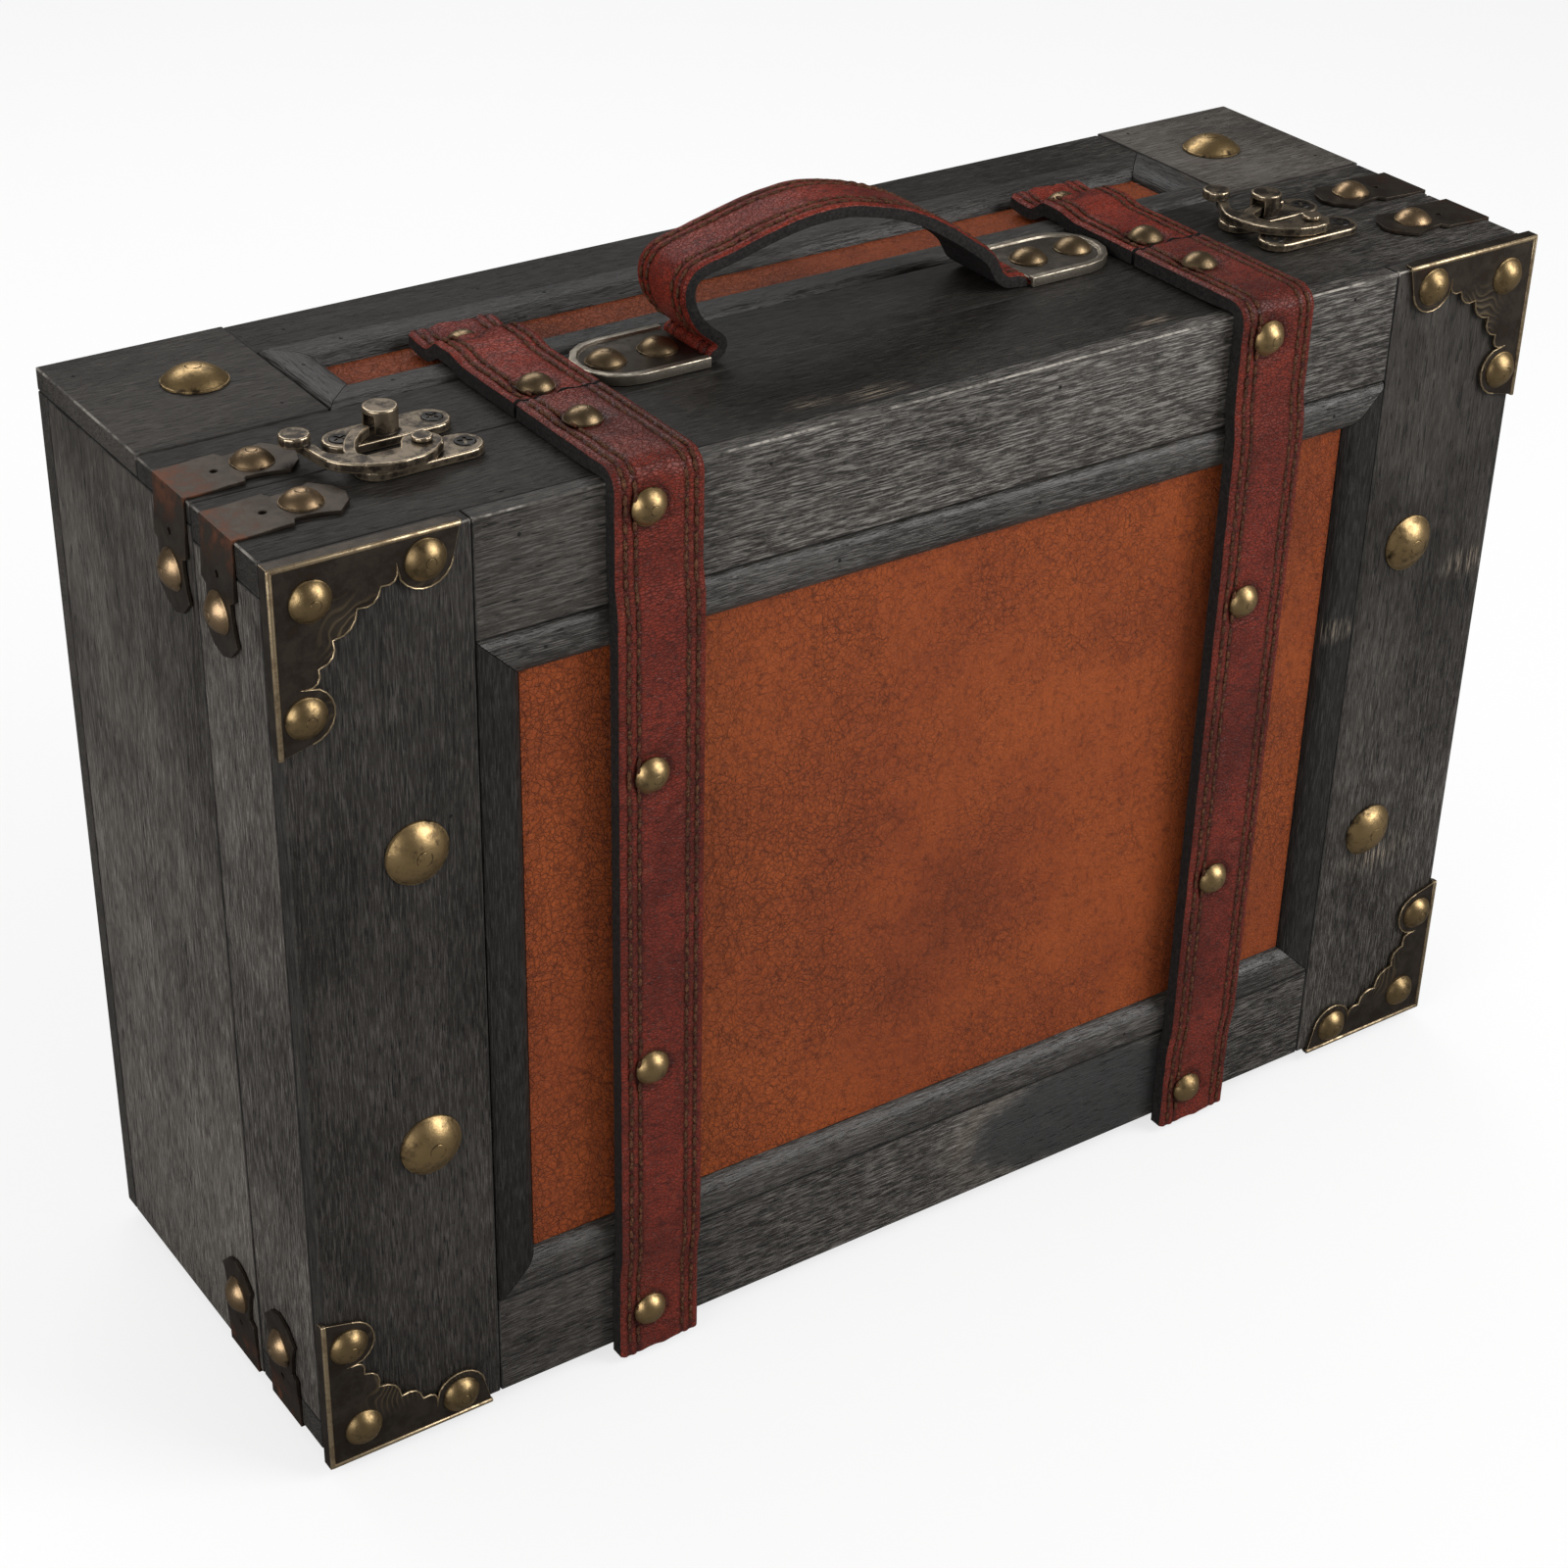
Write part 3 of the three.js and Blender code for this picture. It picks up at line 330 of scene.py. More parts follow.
def redLeather(name, lift, gloss):
    # lift makes the leather paler all over; the paler copy for the tabs and the handle, which face up, is
    # painted light on their tops
    # wrinkles run round the strap, so the pattern is drawn out along X
    shader = Shader(name)
    where = shader.place()
    swirl = shader.noise(where, 260, detail=3, output="Color")
    pebble = shader.cells(shader.nudged(shader.place((0.55, 0.9, 1)), swirl, 0.0012), 1350)
    crease = shader.noise(shader.place((0.45, 1, 1)), 800, detail=4, roughness=0.62, distortion=0.8)
    cloud, scuff = shader.noises(where, (46, 5, 0.64), (210, 5, 0.7))
    # painted shade: the ribbon's mark darkens the seam grooves and the line round each stud
    paintedShade = shader.mark("paintedShade")
    pale = (0.165 * lift, 0.0215 * lift, 0.0105 * lift)
    colour = shader.layered(pale, (
        (cloud.band(0.34, 0.66), (0.095 * lift, 0.0125, 0.0070)),
        (crease.band(0.48, 0.66) * 0.6, hide["crease"]),
        ((1 - pebble.band(0.0, 0.12)) * 0.5, hide["crease"]),
        (scuff.band(0.58, 0.74) * 0.35, hide["scuff"]),
        ((paintedShade * 1.1).clipped(), hide["paintedShade"])))
    relief = (crease * 1.1 + pebble.band(0.0, 0.14) * 0.8, 0.00030, 0.9)
    return shader.surface({"Specular IOR Level": gloss, "Coat Roughness": 0.2, "Coat Weight": 0.05}, relief,
                          colour=colour, rough=0.34 + crease * 0.12)


def cutLeather():
    shader = Shader("cutLeather")
    fuzz = shader.noise(shader.place(), 1300, detail=4, roughness=0.7)
    layer = shader.noise(shader.place((200, 200, 900)), 1, detail=2)
    colour = shader.mix(fuzz.band(0.35, 0.75), (0.0050, 0.0045, 0.0042), (0.022, 0.018, 0.016))
    relief = (fuzz + layer * 0.6, 0.0003, 0.7)
    return shader.surface({"Specular IOR Level": 0.3}, relief, colour=colour, rough=0.86)


def thread():
    shader = Shader("waxedThread")
    twist, fade = shader.noises(shader.place(), (2600, 2), (120, 3))
    colour = shader.mix(twist.band(0.35, 0.65), (0.022, 0.0085, 0.0045), (0.118, 0.046, 0.020))
    colour = shader.mix(fade.band(0.42, 0.66) * 0.7, colour, (0.036, 0.0125, 0.0070))
    return shader.surface({"Specular IOR Level": 0.15}, (twist, 0.0002, 0.6), colour=colour, rough=0.65)


def agedMetal(name, bright, dark, darkShare, rough, seed, edged=False):
    # where the piece says how sharply it turns, outer edges are rubbed bright and inner ones stay dark
    shader = Shader(name)
    where = shader.place((1, 1, 1), (seed, seed * 0.7, seed * 1.3))
    patina, fine = shader.noises(where, (260, 4, 0.68), (1400, 3, 0.7))
    mask = patina.band(0.62 - darkShare * 0.45, 0.80 - darkShare * 0.35) * 0.75
    mask = (mask + fine.band(0.5, 0.75) * 0.3).clipped()
    if edged:
        turn = shader.mark("turn")
        mask = (mask * 0.45 + 0.68 - turn.band(0.025, 0.105) + turn.band(-0.006, -0.050) * 0.6).clipped()
    colour = shader.mix(mask, bright, dark)
    rough = rough + mask * 0.16 + fine * 0.06
    relief = ((fine + patina) * 0.5, 0.00012, 0.6)
    return shader.surface({}, relief, colour=colour, metal=0.95 - mask * 0.2, rough=rough)


def domeBrass(name, tint):
    shader = Shader(name)
    where = shader.place()
    crown = shader.mark("crown")
    patina, broad, fine, pits = shader.noises(where, (300, 5, 0.65), (95, 3, 0.6), (1700, 3, 0.7),
                                              (620, 3, 0.7))
    soot = (1 - crown.band(0.0, 0.42)) * 0.42 + patina.band(0.47, 0.66) * 0.55 + pits.band(0.56, 0.76) * 0.35
    soot = (soot + broad.band(0.46, 0.7) * 0.35 + fine.band(0.54, 0.80) * 0.25).clipped()
    mark = (1 - (crown - 0.95).sum("ABSOLUTE").band(0.0, 0.012)) * patina.band(0.42, 0.5) * 0.7
    colour = shader.mix((soot + mark).clipped(), tint, (0.040, 0.026, 0.0125))
    rough = 0.33 + soot * 0.14 + fine * 0.06
    relief = (patina * 0.6 + pits * 0.5 + fine * 0.3 - mark * 1.5, 0.00014, 0.6)
    return shader.surface({}, relief, colour=colour, metal=0.97 - soot * 0.12, rough=rough)


def foldedBronze():
    # copper wear near the folds, scrolls pressed into the corner irons along their cut edge
    shader = Shader("foldedBronze")
    where = shader.place()
    fold = shader.mark("fold")
    scroll = shader.mark("scroll")
    patina, fine = shader.noises(where, (190, 5, 0.65), (1300, 3, 0.7))
    swirl = shader.noise(where, 75, detail=1, output="Color")
    sockets = {"Vector": shader.nudged(where, swirl, 0.02), "Scale": 165, "Distortion": 3.0, "Detail": 0.0}
    kind = {"wave_type": "RINGS", "rings_direction": "SPHERICAL"}
    rings = shader.add("ShaderNodeTexWave", kind, sockets, "Fac")
    line = rings.band(0.66, 0.95) * scroll * 0.6
    copper = (fold * patina.band(0.42, 0.64) * 0.8).clipped()
    colour = shader.layered((0.074, 0.058, 0.044), (
        (patina.band(0.35, 0.7), (0.034, 0.027, 0.022)),
        (patina.band(0.52, 0.70) * 0.5, (0.070, 0.042, 0.026)),
        (copper, (0.175, 0.060, 0.027)),
        ((line * (patina * 0.7 + 0.45)).clipped(), (0.30, 0.225, 0.125))))
    rough = 0.42 + fine * 0.1 + copper * 0.14
    relief = (fine * 0.25 + patina * 0.35 + scroll * rings * 0.6, 0.00026, 0.8)
    return shader.surface({}, relief, colour=colour, metal=0.85 - copper * 0.25, rough=rough)


def onFront(x, z, size):
    return (*(toRow @ Vector((x, frontY, z))), size)


def onTop(x, y, size):
    return (*(toRow @ Vector((x, y, case["height"]))), size)


# grain axis, seed, brushing, lift, gloss, spots, knots and fade
rightward = ("X", 0.155, 0.085, 0.68)
topSpots = [onTop(-22, -50.0, 0.0055), onTop(-38, -47, 0.004), onTop(58, -51, 0.005)]
grades = {
    "railA": ("x", 1, 0.88, 1.05, 0.28, (), (), ("X", -0.03, -0.12, 0.68)),
    "railB": ("x", 2, 0.75, 1.05, 0.28, (), [onFront(50, 14, 0.0185)], ("X", -0.03, -0.12, 0.62)),
    "topA": ("x", 3, 0.40, 0.60, 0.20, (), (), rightward),
    "topB": ("x", 4, 0.46, 0.60, 0.20, topSpots, (), rightward),
    "stileA": ("z", 5, 0.18, 0.8, 0.28),
    "stileB": ("z", 6, 0.44, 1.15, 0.28, [onFront(170, 146, 0.006), onFront(150, 60, 0.008)], (),
               ("Z", 0.03, 0.19, 0.66)),
    "sideA": ("z", 7, 0.58, 1.9, 0.28, (), (), ("Z", 0.10, 0.235, 0.5)),
    "sideB": ("z", 8, 0.6, 1.9, 0.28),
    "endA": ("x", 9, 0.20, 1.05, 0.20),
    "endB": ("x", 16, 0.42, 2.2, 0.22),
    "mouldX": ("x", 10, 0.32, 0.9, 0.55),
    "mouldZ": ("z", 11, 0.10, 0.3, 0.36, [onFront(122.4, 138, 0.005)]),
    "mouldY": ("y", 12, 0.22, 0.65, 0.45),
    "mouldTop": ("x", 14, 0.25, 0.75, 0.45),
    "inner": ("x", 13, 0.2, 0.7, 0.28),
    "rear": ("x", 15, 0.3, 1.1, 0.26),
}
woods = {key: stainedWood("wood_" + key, *value) for key, value in grades.items()}
finishes = {
    "edge": rubbedEdge("rubbedWoodEdge"),
    "orange": orangeLeather(),
    "red": redLeather("redLeather", 1.0, 0.24),
    # a paler copy of the red leather for the tabs and the handle: painted light on the faces that look up
    "redTop": redLeather("redLeatherTopPaintedLight", 1.35, 0.16),
    "cut": cutLeather(),
    "thread": thread(),
    "dome": domeBrass("domeBrass", (0.53, 0.365, 0.172)),
    "ironDome": domeBrass("ironDomeBrass", (0.38, 0.265, 0.128)),
    "copperDome": domeBrass("copperDome", (0.42, 0.288, 0.165)),
    "agedDome": domeBrass("agedDomeBrass", (0.29, 0.205, 0.115)),
    "bronze": foldedBronze(),
    "brassEdge": agedMetal("brightBrassEdge", (0.58, 0.45, 0.28), (0.13, 0.088, 0.048), 0.5, 0.33, 1.0),
    "latch": agedMetal("latchBrass", (0.54, 0.435, 0.305), (0.038, 0.028, 0.020), 0.5, 0.27, 2.0, edged=True),
    "leaf": agedMetal("leafBrass", (0.20, 0.155, 0.10), (0.065, 0.048, 0.034), 0.5, 0.34, 3.0),
    "plate": agedMetal("handlePlateSteel", (0.075, 0.062, 0.048), (0.034, 0.027, 0.021), 0.5, 0.4, 4.0),
    "plateRim": agedMetal("handlePlateEdge", (0.52, 0.46, 0.365), (0.18, 0.145, 0.105), 0.4, 0.34, 5.0),
    "plateWall": agedMetal("handlePlateWall", (0.30, 0.265, 0.215), (0.085, 0.070, 0.055), 0.45, 0.34, 7.0),
    "screw": agedMetal("blackScrew", (0.050, 0.047, 0.044), (0.014, 0.013, 0.012), 0.5, 0.38, 6.0),
}
print("finishes made")


def only(thing):
    bpy.ops.object.select_all(action="DESELECT")
    thing.select_set(True)
    bpy.context.view_layer.objects.active = thing


def applied(thing, kind, **settings):
    only(thing)
    modifier = thing.modifiers.new(kind.lower(), kind)
    for key, value in settings.items():
        setattr(modifier, key, value)
    bpy.ops.object.modifier_apply(modifier=modifier.name)
    return thing


def smoothed(thing, degrees):
    only(thing)
    bpy.ops.object.shade_smooth_by_angle(angle=math.radians(degrees))


def wearing(thing, *keys):
    # the faces keep the number of their finish
    kept = [face.material_index for face in thing.data.polygons]
    thing.data.materials.clear()
    for key in keys:
        thing.data.materials.append(woods[key] if key in woods else finishes[key])
    for face, number in zip(thing.data.polygons, kept):
        face.material_index = min(number, len(keys) - 1)


def finishPiece(thing, name, body, slot, stands=()):
    only(thing)
    thing.name = name
    thing.data.name = name
    thing.data.transform(thing.matrix_world)
    thing.matrix_world = Matrix.Identity(4)
    thing.data.transform(toRow)
    thing.data.update()
    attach(thing, body)
    if stands:
        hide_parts(*stands)
    thing.select_set(False)
    return thing


def dressed(thing, keys, degrees, *names):
    wearing(thing, *keys)
    smoothed(thing, degrees)
    return finishPiece(thing, *names)


def joinAll(things):
    only(things[0])
    for other in things[1:]:
        other.select_set(True)
    bpy.ops.object.join()
    return bpy.context.view_layer.objects.active


def copied(thing, matrix):
    twin = thing.copy()
    twin.data = thing.data.copy()
    collection.objects.link(twin)
    twin.data.transform(matrix)
    return twin


def block(middle, size):
    bpy.ops.mesh.primitive_cube_add(size=1, location=middle, scale=size)
    bpy.ops.object.transform_apply(location=True, scale=True)
    return bpy.context.object


def rod(sides, radius, length, middle, turn, width, segments):
    # the rims of both ends are rounded
    bpy.ops.mesh.primitive_cylinder_add(vertices=sides, radius=radius, depth=length,
                                        location=middle, rotation=turn)
    bpy.ops.object.transform_apply(location=True, rotation=True)
    return applied(bpy.context.object, "BEVEL", width=width, segments=segments, limit_method="ANGLE",
                   angle_limit=math.radians(60))


def opened(thing):
    # edit mode with all of the mesh selected
    only(thing)
    bpy.ops.object.mode_set(mode="EDIT")
    bpy.ops.mesh.select_all(action="SELECT")


def closed():
    bpy.ops.object.mode_set(mode="OBJECT")


def twoSlots(thing):
    # a bevel can only give its faces a slot that is already there
    while len(thing.data.materials) < 2:
        thing.data.materials.append(None)


def fixNormals(thing):
    opened(thing)
    bpy.ops.mesh.remove_doubles(threshold=0.0005)
    bpy.ops.mesh.normals_make_consistent(inside=False)
    closed()


def divide(thing, cuts):
    opened(thing)
    bpy.ops.mesh.quads_convert_to_tris()
    bpy.ops.mesh.subdivide(number_cuts=cuts)
    closed()


def mark(thing, name, measure):
    values = thing.data.attributes.new(name, "FLOAT", "POINT")
    for vertex in thing.data.vertices:
        values.data[vertex.index].value = measure(vertex.co)


def nodeCopy(node, flatten=None):
    # a merged copy of the solid, with its own studs pressed flat where flatten says so
    thing = frame["nodes"][node].copy()
    thing.data = frame["nodes"][node].data.copy()
    for key in list(thing.keys()):
        del thing[key]
    thing.parent = None
    thing.hide_render = False
    collection.objects.link(thing)
    thing.data.transform(toCase)
    if flatten:
        for vertex in thing.data.vertices:
            vertex.co = flatten(vertex.co)
    opened(thing)
    bpy.ops.mesh.remove_doubles(threshold=0.002)
    closed()
    return thing


def sheetFrom(node, bevel, segments, angle, flatten=None):
    thing = nodeCopy(node, flatten)
    opened(thing)
    bpy.ops.mesh.dissolve_degenerate(threshold=0.01)
    bpy.ops.mesh.dissolve_limited(angle_limit=math.radians(0.6))
    bpy.ops.mesh.select_all(action="SELECT")
    bpy.ops.mesh.vert_connect_concave()
    closed()
    twoSlots(thing)
    applied(thing, "BEVEL", width=bevel, segments=segments, limit_method="ANGLE",
            angle_limit=math.radians(angle), material=1, use_clamp_overlap=True)
    return thing


def castingFrom(node, cell, rounds, flatten=None):
    # Soft cast edges: the solid is rebuilt in small cells and smoothed.
    # The mark called turn is how sharply the surface bends, outward above zero and inward below.
    thing = nodeCopy(node, flatten)
    applied(thing, "REMESH", mode="VOXEL", voxel_size=cell)
    applied(thing, "SMOOTH", factor=0.5, iterations=rounds)
    mesh = thing.data
    turn = [0.0] * len(mesh.vertices)
    count = [0] * len(mesh.vertices)
    for edge in mesh.edges:
        a, b = edge.vertices
        way = mesh.vertices[b].co - mesh.vertices[a].co
        size = max(way.length, 1e-6)
        turn[a] -= way.dot(mesh.vertices[a].normal) / size
        turn[b] += way.dot(mesh.vertices[b].normal) / size
        count[a] += 1
        count[b] += 1
    turn = [t / max(c, 1) for t, c in zip(turn, count)]
    for _ in range(3):
        total = list(turn)
        for edge in mesh.edges:
            a, b = edge.vertices
            total[a] += turn[b]
            total[b] += turn[a]
        turn = [t / (c + 1) for t, c in zip(total, count)]
    values = mesh.attributes.new("turn", "FLOAT", "POINT")
    for i, t in enumerate(turn):
        values.data[i].value = t * 0.25 / cell
    return thing


boards = {
    "bevel": 0.385,
    "base": {"base_left_board": "sideA", "base_right_board": "sideB", "base_top_board": "inner",
             "base_bottom_board": "inner", "base_back_panel": "rear", "top_front_strip": "topA",
             "top_left_end": "endA", "top_right_end": "endB", "top_rear_strip": "topB"},
    "lid": {"lid_left_board": "sideB", "lid_right_board": "sideA", "lid_top_board": "topB",
            "lid_bottom_board": "inner", "lid_backing_panel": "inner", "front_left_stile": "stileA",
            "front_right_stile": "stileB", "front_top_rail": "railA", "front_bottom_rail": "railB"},
}


def makeBoard(node, body, grade):
    low, high = (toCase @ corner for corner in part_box(node))
    board = block((low + high) / 2, high - low)
    twoSlots(board)
    opened(board)
    bpy.ops.mesh.bevel(offset=boards["bevel"], segments=2, profile=0.6, material=1)
    closed()
    dressed(board, (grade, "edge"), 40, node + "_wood", body, "stained_wood", [node])


for body in ("base", "lid"):
    for node, grade in boards[body].items():
        makeBoard(node, body, grade)
print("boards made")


moulding = {"width": 10.8, "crest": 1.2, "deep": 5.0, "mitreGap": 0.12, "halfWidth": 129.35,
            "outerRound": (2.1, 6), "innerRound": (4.2, 8),
            "front": (28.1, 206.2), "top": (4.55, 41.04)}


def bevelEdges(mesh, chosen, offset, segments):
    bpy.ops.mesh.select_all(action="DESELECT")
    for edge in bmesh.from_edit_mesh(mesh).edges:
        if chosen(*(vertex.co for vertex in edge.verts)):
            edge.select = True
    bmesh.update_edit_mesh(mesh)
    bpy.ops.mesh.bevel(offset=offset, segments=segments, profile=0.5)


def mouldingBar(length):
    # along X from zero, outer edge on Y zero, surface of the rail on Z zero
    width, crest, deep = (moulding[key] for key in ("width", "crest", "deep"))
    bar = block((length / 2, width / 2, (crest - deep) / 2), (length, width, crest + deep))
    bpy.ops.object.mode_set(mode="EDIT")
    bpy.ops.mesh.select_mode(type="EDGE")

    def outer(a, b):
        return min(a.z, b.z) > 0 and abs(a.x - b.x) > length / 2 and a.y < width / 2

    def inner(a, b):
        return min(a.z, b.z) > crest - 0.01 and min(a.y, b.y) > width - 0.01

    bevelEdges(bar.data, outer, *moulding["outerRound"])
    bevelEdges(bar.data, inner, *moulding["innerRound"])
    gap = moulding["mitreGap"]
    for place, normal in (((gap, 0, 0), (-1, 1, 0)), ((length - gap, 0, 0), (1, 1, 0))):
        bpy.ops.mesh.select_all(action="SELECT")
        bpy.ops.mesh.bisect(plane_co=place, plane_no=normal, use_fill=True, clear_outer=True)
    closed()
    return bar


def makeMoulding(name, key, turn, body, node, grade):
    w = moulding["halfWidth"]
    low, high = moulding[key]
    sides = [((-w, low), 0, 2 * w, grade[0]), ((w, low), 90, high - low, grade[1]),
             ((w, high), 180, 2 * w, grade[0]), ((-w, high), 270, high - low, grade[1])]
    bars = []
    for (x, y), degrees, length, wood in sides:
        bar = mouldingBar(length)
        corner = Matrix.Translation((x, y, 0)) @ Matrix.Rotation(math.radians(degrees), 4, "Z")
        bar.data.transform(turn @ corner)
        wearing(bar, wood)
        fixNormals(bar)
        smoothed(bar, 40)
        bars.append(bar)
    finishPiece(joinAll(bars), name, body, "stained_wood", [node])


standing = Matrix(((1, 0, 0, 0), (0, 0, -1, 0), (0, 1, 0, 0), (0, 0, 0, 1)))
frontTurn = Matrix.Translation((0, frontY, 0)) @ standing
topTurn = Matrix.Translation((0, 0, case["height"]))
makeMoulding("front_moulding_bars", "front", frontTurn, "lid", "front_moulding", ("mouldX", "mouldZ"))
makeMoulding("top_moulding_bars", "top", topTurn, "base", "top_moulding", ("mouldTop", "mouldY"))
print("mouldings made")


# the ripple fades out over the margins, across and up, and the whole face lies a little deeper than the solid's
panels = {"ripple": 0.22, "rippleSize": 26, "level": 0.35, "margins": (8, 6), "sink": 0.12, "step": 4.0,
          "thick": 1.6}


def makePanel(name, node, body, facing):
    low, high = (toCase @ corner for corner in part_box(node))
    size = high - low
    spanV = size.z if facing == "front" else size.y
    bpy.ops.mesh.primitive_grid_add(x_subdivisions=int(size.x / panels["step"]),
                                    y_subdivisions=int(spanV / panels["step"]), size=1)
    panel = bpy.context.object
    across, up = panels["margins"]
    for vertex in panel.data.vertices:
        u, v = vertex.co.x * size.x, vertex.co.y * spanV
        inside = min(1, (size.x / 2 - abs(u)) / across, (spanV / 2 - abs(v)) / up)
        wave = noise.noise(Vector((u, v, 3)) / panels["rippleSize"]) - panels["level"]
        rise = panels["ripple"] * wave * max(inside, 0) - panels["sink"]
        if facing == "front":
            vertex.co = Vector((u, low.y - rise, (low.z + high.z) / 2 + v))
        else:
            vertex.co = Vector((u, (low.y + high.y) / 2 + v, high.z + rise))
    applied(panel, "SOLIDIFY", thickness=panels["thick"], offset=-1)
    fixNormals(panel)
    dressed(panel, ("orange",), 40, name, body, "orange_leather", [node])


makePanel("front_leather_panel", "front_leather", "lid", "front")
makePanel("top_leather_strip", "top_leather", "base", "top")
print("leather panels made")


# The edge is rounded, each seam lies in a groove and each stud in a hollow.
# Shares are how dark the painted shade in the seam grooves and on the line round a stud gets, swell the depth
# and size of each unevenness.
ribbonShape = {"along": 1.3, "across": 34, "round": 1.1, "roundDeep": 0.55,
               "grooveWide": 0.42, "seamShare": 0.75, "seamWide": 0.6,
               "dentDeep": 0.75, "dentAt": 0.8, "dentWide": 2.4, "lineShare": 0.6, "lineWide": 0.7,
               "swell": ((0.16, 7.0), (0.07, 2.6)), "redTurn": 0.35, "redEdge": 0.12}
stitching = {"rows": (2.3, 4.8), "pitch": 3.3, "long": 3.1, "wide": 1.1, "high": 0.42, "groove": 0.42,
             "sunk": 0.04, "slant": 0.13, "stray": 0.12, "pace": (0.96, 1.04)}


def alongLine(points, step):
    # points at an even pace, each with its travel and its outward normal (to the left of the way)
    lengths = [0.0]
    for a, b in zip(points, points[1:]):
        lengths.append(lengths[-1] + (b - a).length)
    count = max(int(round(lengths[-1] / step)), 2)
    made = []
    i = 0
    for n in range(count + 1):
        travel = lengths[-1] * n / count
        while i < len(points) - 2 and lengths[i + 1] < travel:
            i += 1
        span = lengths[i + 1] - lengths[i]
        made.append((travel, points[i].lerp(points[i + 1], (travel - lengths[i]) / span)))
    ready = []
    for n, (travel, point) in enumerate(made):
        ahead = made[min(n + 1, count)][1] - made[max(n - 1, 0)][1]
        ready.append((travel, point, Vector((-ahead.y, ahead.x)).normalized()))
    return ready


def ribbon(line, width, thickness, toSpace, dents, endWander, crown):
    # the outer face follows the line, thickness says how deep the leather is at a travel
    count = len(line) - 1
    shape = ribbonShape
    bpy.ops.mesh.primitive_grid_add(x_subdivisions=shape["across"], y_subdivisions=count, size=1)
    strip = bpy.context.object
    opened(strip)
    bpy.ops.mesh.extrude_region_move(TRANSFORM_OT_translate={"value": (0, 0, 1)})
    closed()
    # this mark holds painted shade, darker along the seam grooves and round each stud
    paintedShadeMark = strip.data.attributes.new("paintedShade", "FLOAT", "POINT")
    for vertex in strip.data.vertices:
        across = vertex.co.x * width
        n = min(max(int(round((vertex.co.y + 0.5) * count)), 0), count)
        travel, point, normal = line[n]
        isTop = vertex.co.z > 0.5
        edge = width / 2 - abs(across)
        depth = 0.0
        shade = 0.0
        if isTop:
            rounding = max(0.0, 1 - edge / shape["round"])
            depth += shape["roundDeep"] * rounding * rounding - crown * (1 - (across / (width / 2)) ** 2)
            for row in stitching["rows"]:
                depth += stitching["groove"] * math.exp(-((edge - row) / shape["grooveWide"]) ** 2)
                shade = max(shade, shape["seamShare"] * math.exp(-((edge - row) / shape["seamWide"]) ** 2))
            for dentTravel, dentAcross, radius in dents:
                far = math.hypot(travel - dentTravel, across - dentAcross)
                inner = far - radius * shape["dentAt"]
                depth += shape["dentDeep"] * math.exp(-(inner / shape["dentWide"]) ** 2)
                shade = max(shade, shape["lineShare"] * math.exp(-((far - radius) / shape["lineWide"]) ** 2))
            seen = toSpace(across, point)
            depth += sum(deep * noise.noise(seen / size) for deep, size in shape["swell"])
        else:
            depth = thickness(travel)
        place = point - normal * depth
        paintedShadeMark.data[vertex.index].value = shade
        if n in (0, count) and endWander:
            way = 1 if n == 0 else -1
            ahead = Vector((normal.y, -normal.x)) * way
            place = place + ahead * endWander * (0.5 + noise.noise(Vector((across / 3.0, 1.7 * n, 0))))
        vertex.co = toSpace(across, place)
    fixNormals(strip)
    return strip


def paintCut(strip, line, toFlat, width):
    # the outer face keeps the red leather, the sides and the underside show the black core
    lookup = [(p, n) for _, p, n in line]
    for polygon in strip.data.polygons:
        flat, across = toFlat(polygon.center)
        turn, _ = toFlat(polygon.center + polygon.normal)
        nearest = min(lookup, key=lambda item: (item[0] - flat).length_squared)
        outward = (turn - flat).dot(nearest[1])
        outer = outward > ribbonShape["redTurn"] and width / 2 - abs(across) > ribbonShape["redEdge"]
        polygon.material_index = 0 if outer else 1


def stitchRow(line, width, toSpace, start, stop):
    # two rows along each side, from start to stop along the line
    bpy.ops.mesh.primitive_uv_sphere_add(segments=6, ring_count=5, radius=1)
    stitch = bpy.context.object
    wide, long, high = (stitching[key] for key in ("wide", "long", "high"))
    stitch.data.transform(Matrix.Diagonal((wide / 2, long / 2, wide * high, 1)))
    copies = []
    pace = stitching["pitch"]
    for side in (-1, 1):
        for row in stitching["rows"]:
            across = side * (width / 2 - row)
            travel = start + pace * (0.3 + 0.25 * random.random())
            while travel < stop - pace * 0.4:
                n = min(range(len(line)), key=lambda k: abs(line[k][0] - travel))
                _, point, normal = line[n]
                stray = random.uniform(-stitching["stray"], stitching["stray"])
                here = toSpace(across + stray, point - normal * stitching["sunk"])
                up = (toSpace(across, point + normal) - toSpace(across, point)).normalized()
                side3 = (toSpace(across + 1, point) - toSpace(across, point)).normalized()
                ahead = up.cross(side3)
                slant = random.uniform(-stitching["slant"], stitching["slant"])
                turn = Matrix((side3, ahead, up)).transposed() @ Matrix.Rotation(slant, 3, "Z")
                copies.append(copied(stitch, Matrix.Translation(here) @ turn.to_4x4()))
                travel += pace * random.uniform(*stitching["pace"])
    bpy.data.objects.remove(stitch)
    return joinAll(copies)


def sewnPiece(name, body, node, finish, shape, line, thickness, ways, dents=()):
    # seam is how far the stitches stay from both ends
    width = shape["width"]
    toSpace, toFlat = ways
    leather = ribbon(line, width, thickness, toSpace, dents, shape["wander"], shape["crown"])
    paintCut(leather, line, toFlat, width)
    dressed(leather, (finish, "cut"), shape["smooth"], name + "_leather", body, "red_leather", [node])
    start, stop = shape["seam"]
    stitches = stitchRow(line, width, toSpace, start, line[-1][0] - stop)
    dressed(stitches, ("thread",), 60, name + "_stitches", body, "red_leather")


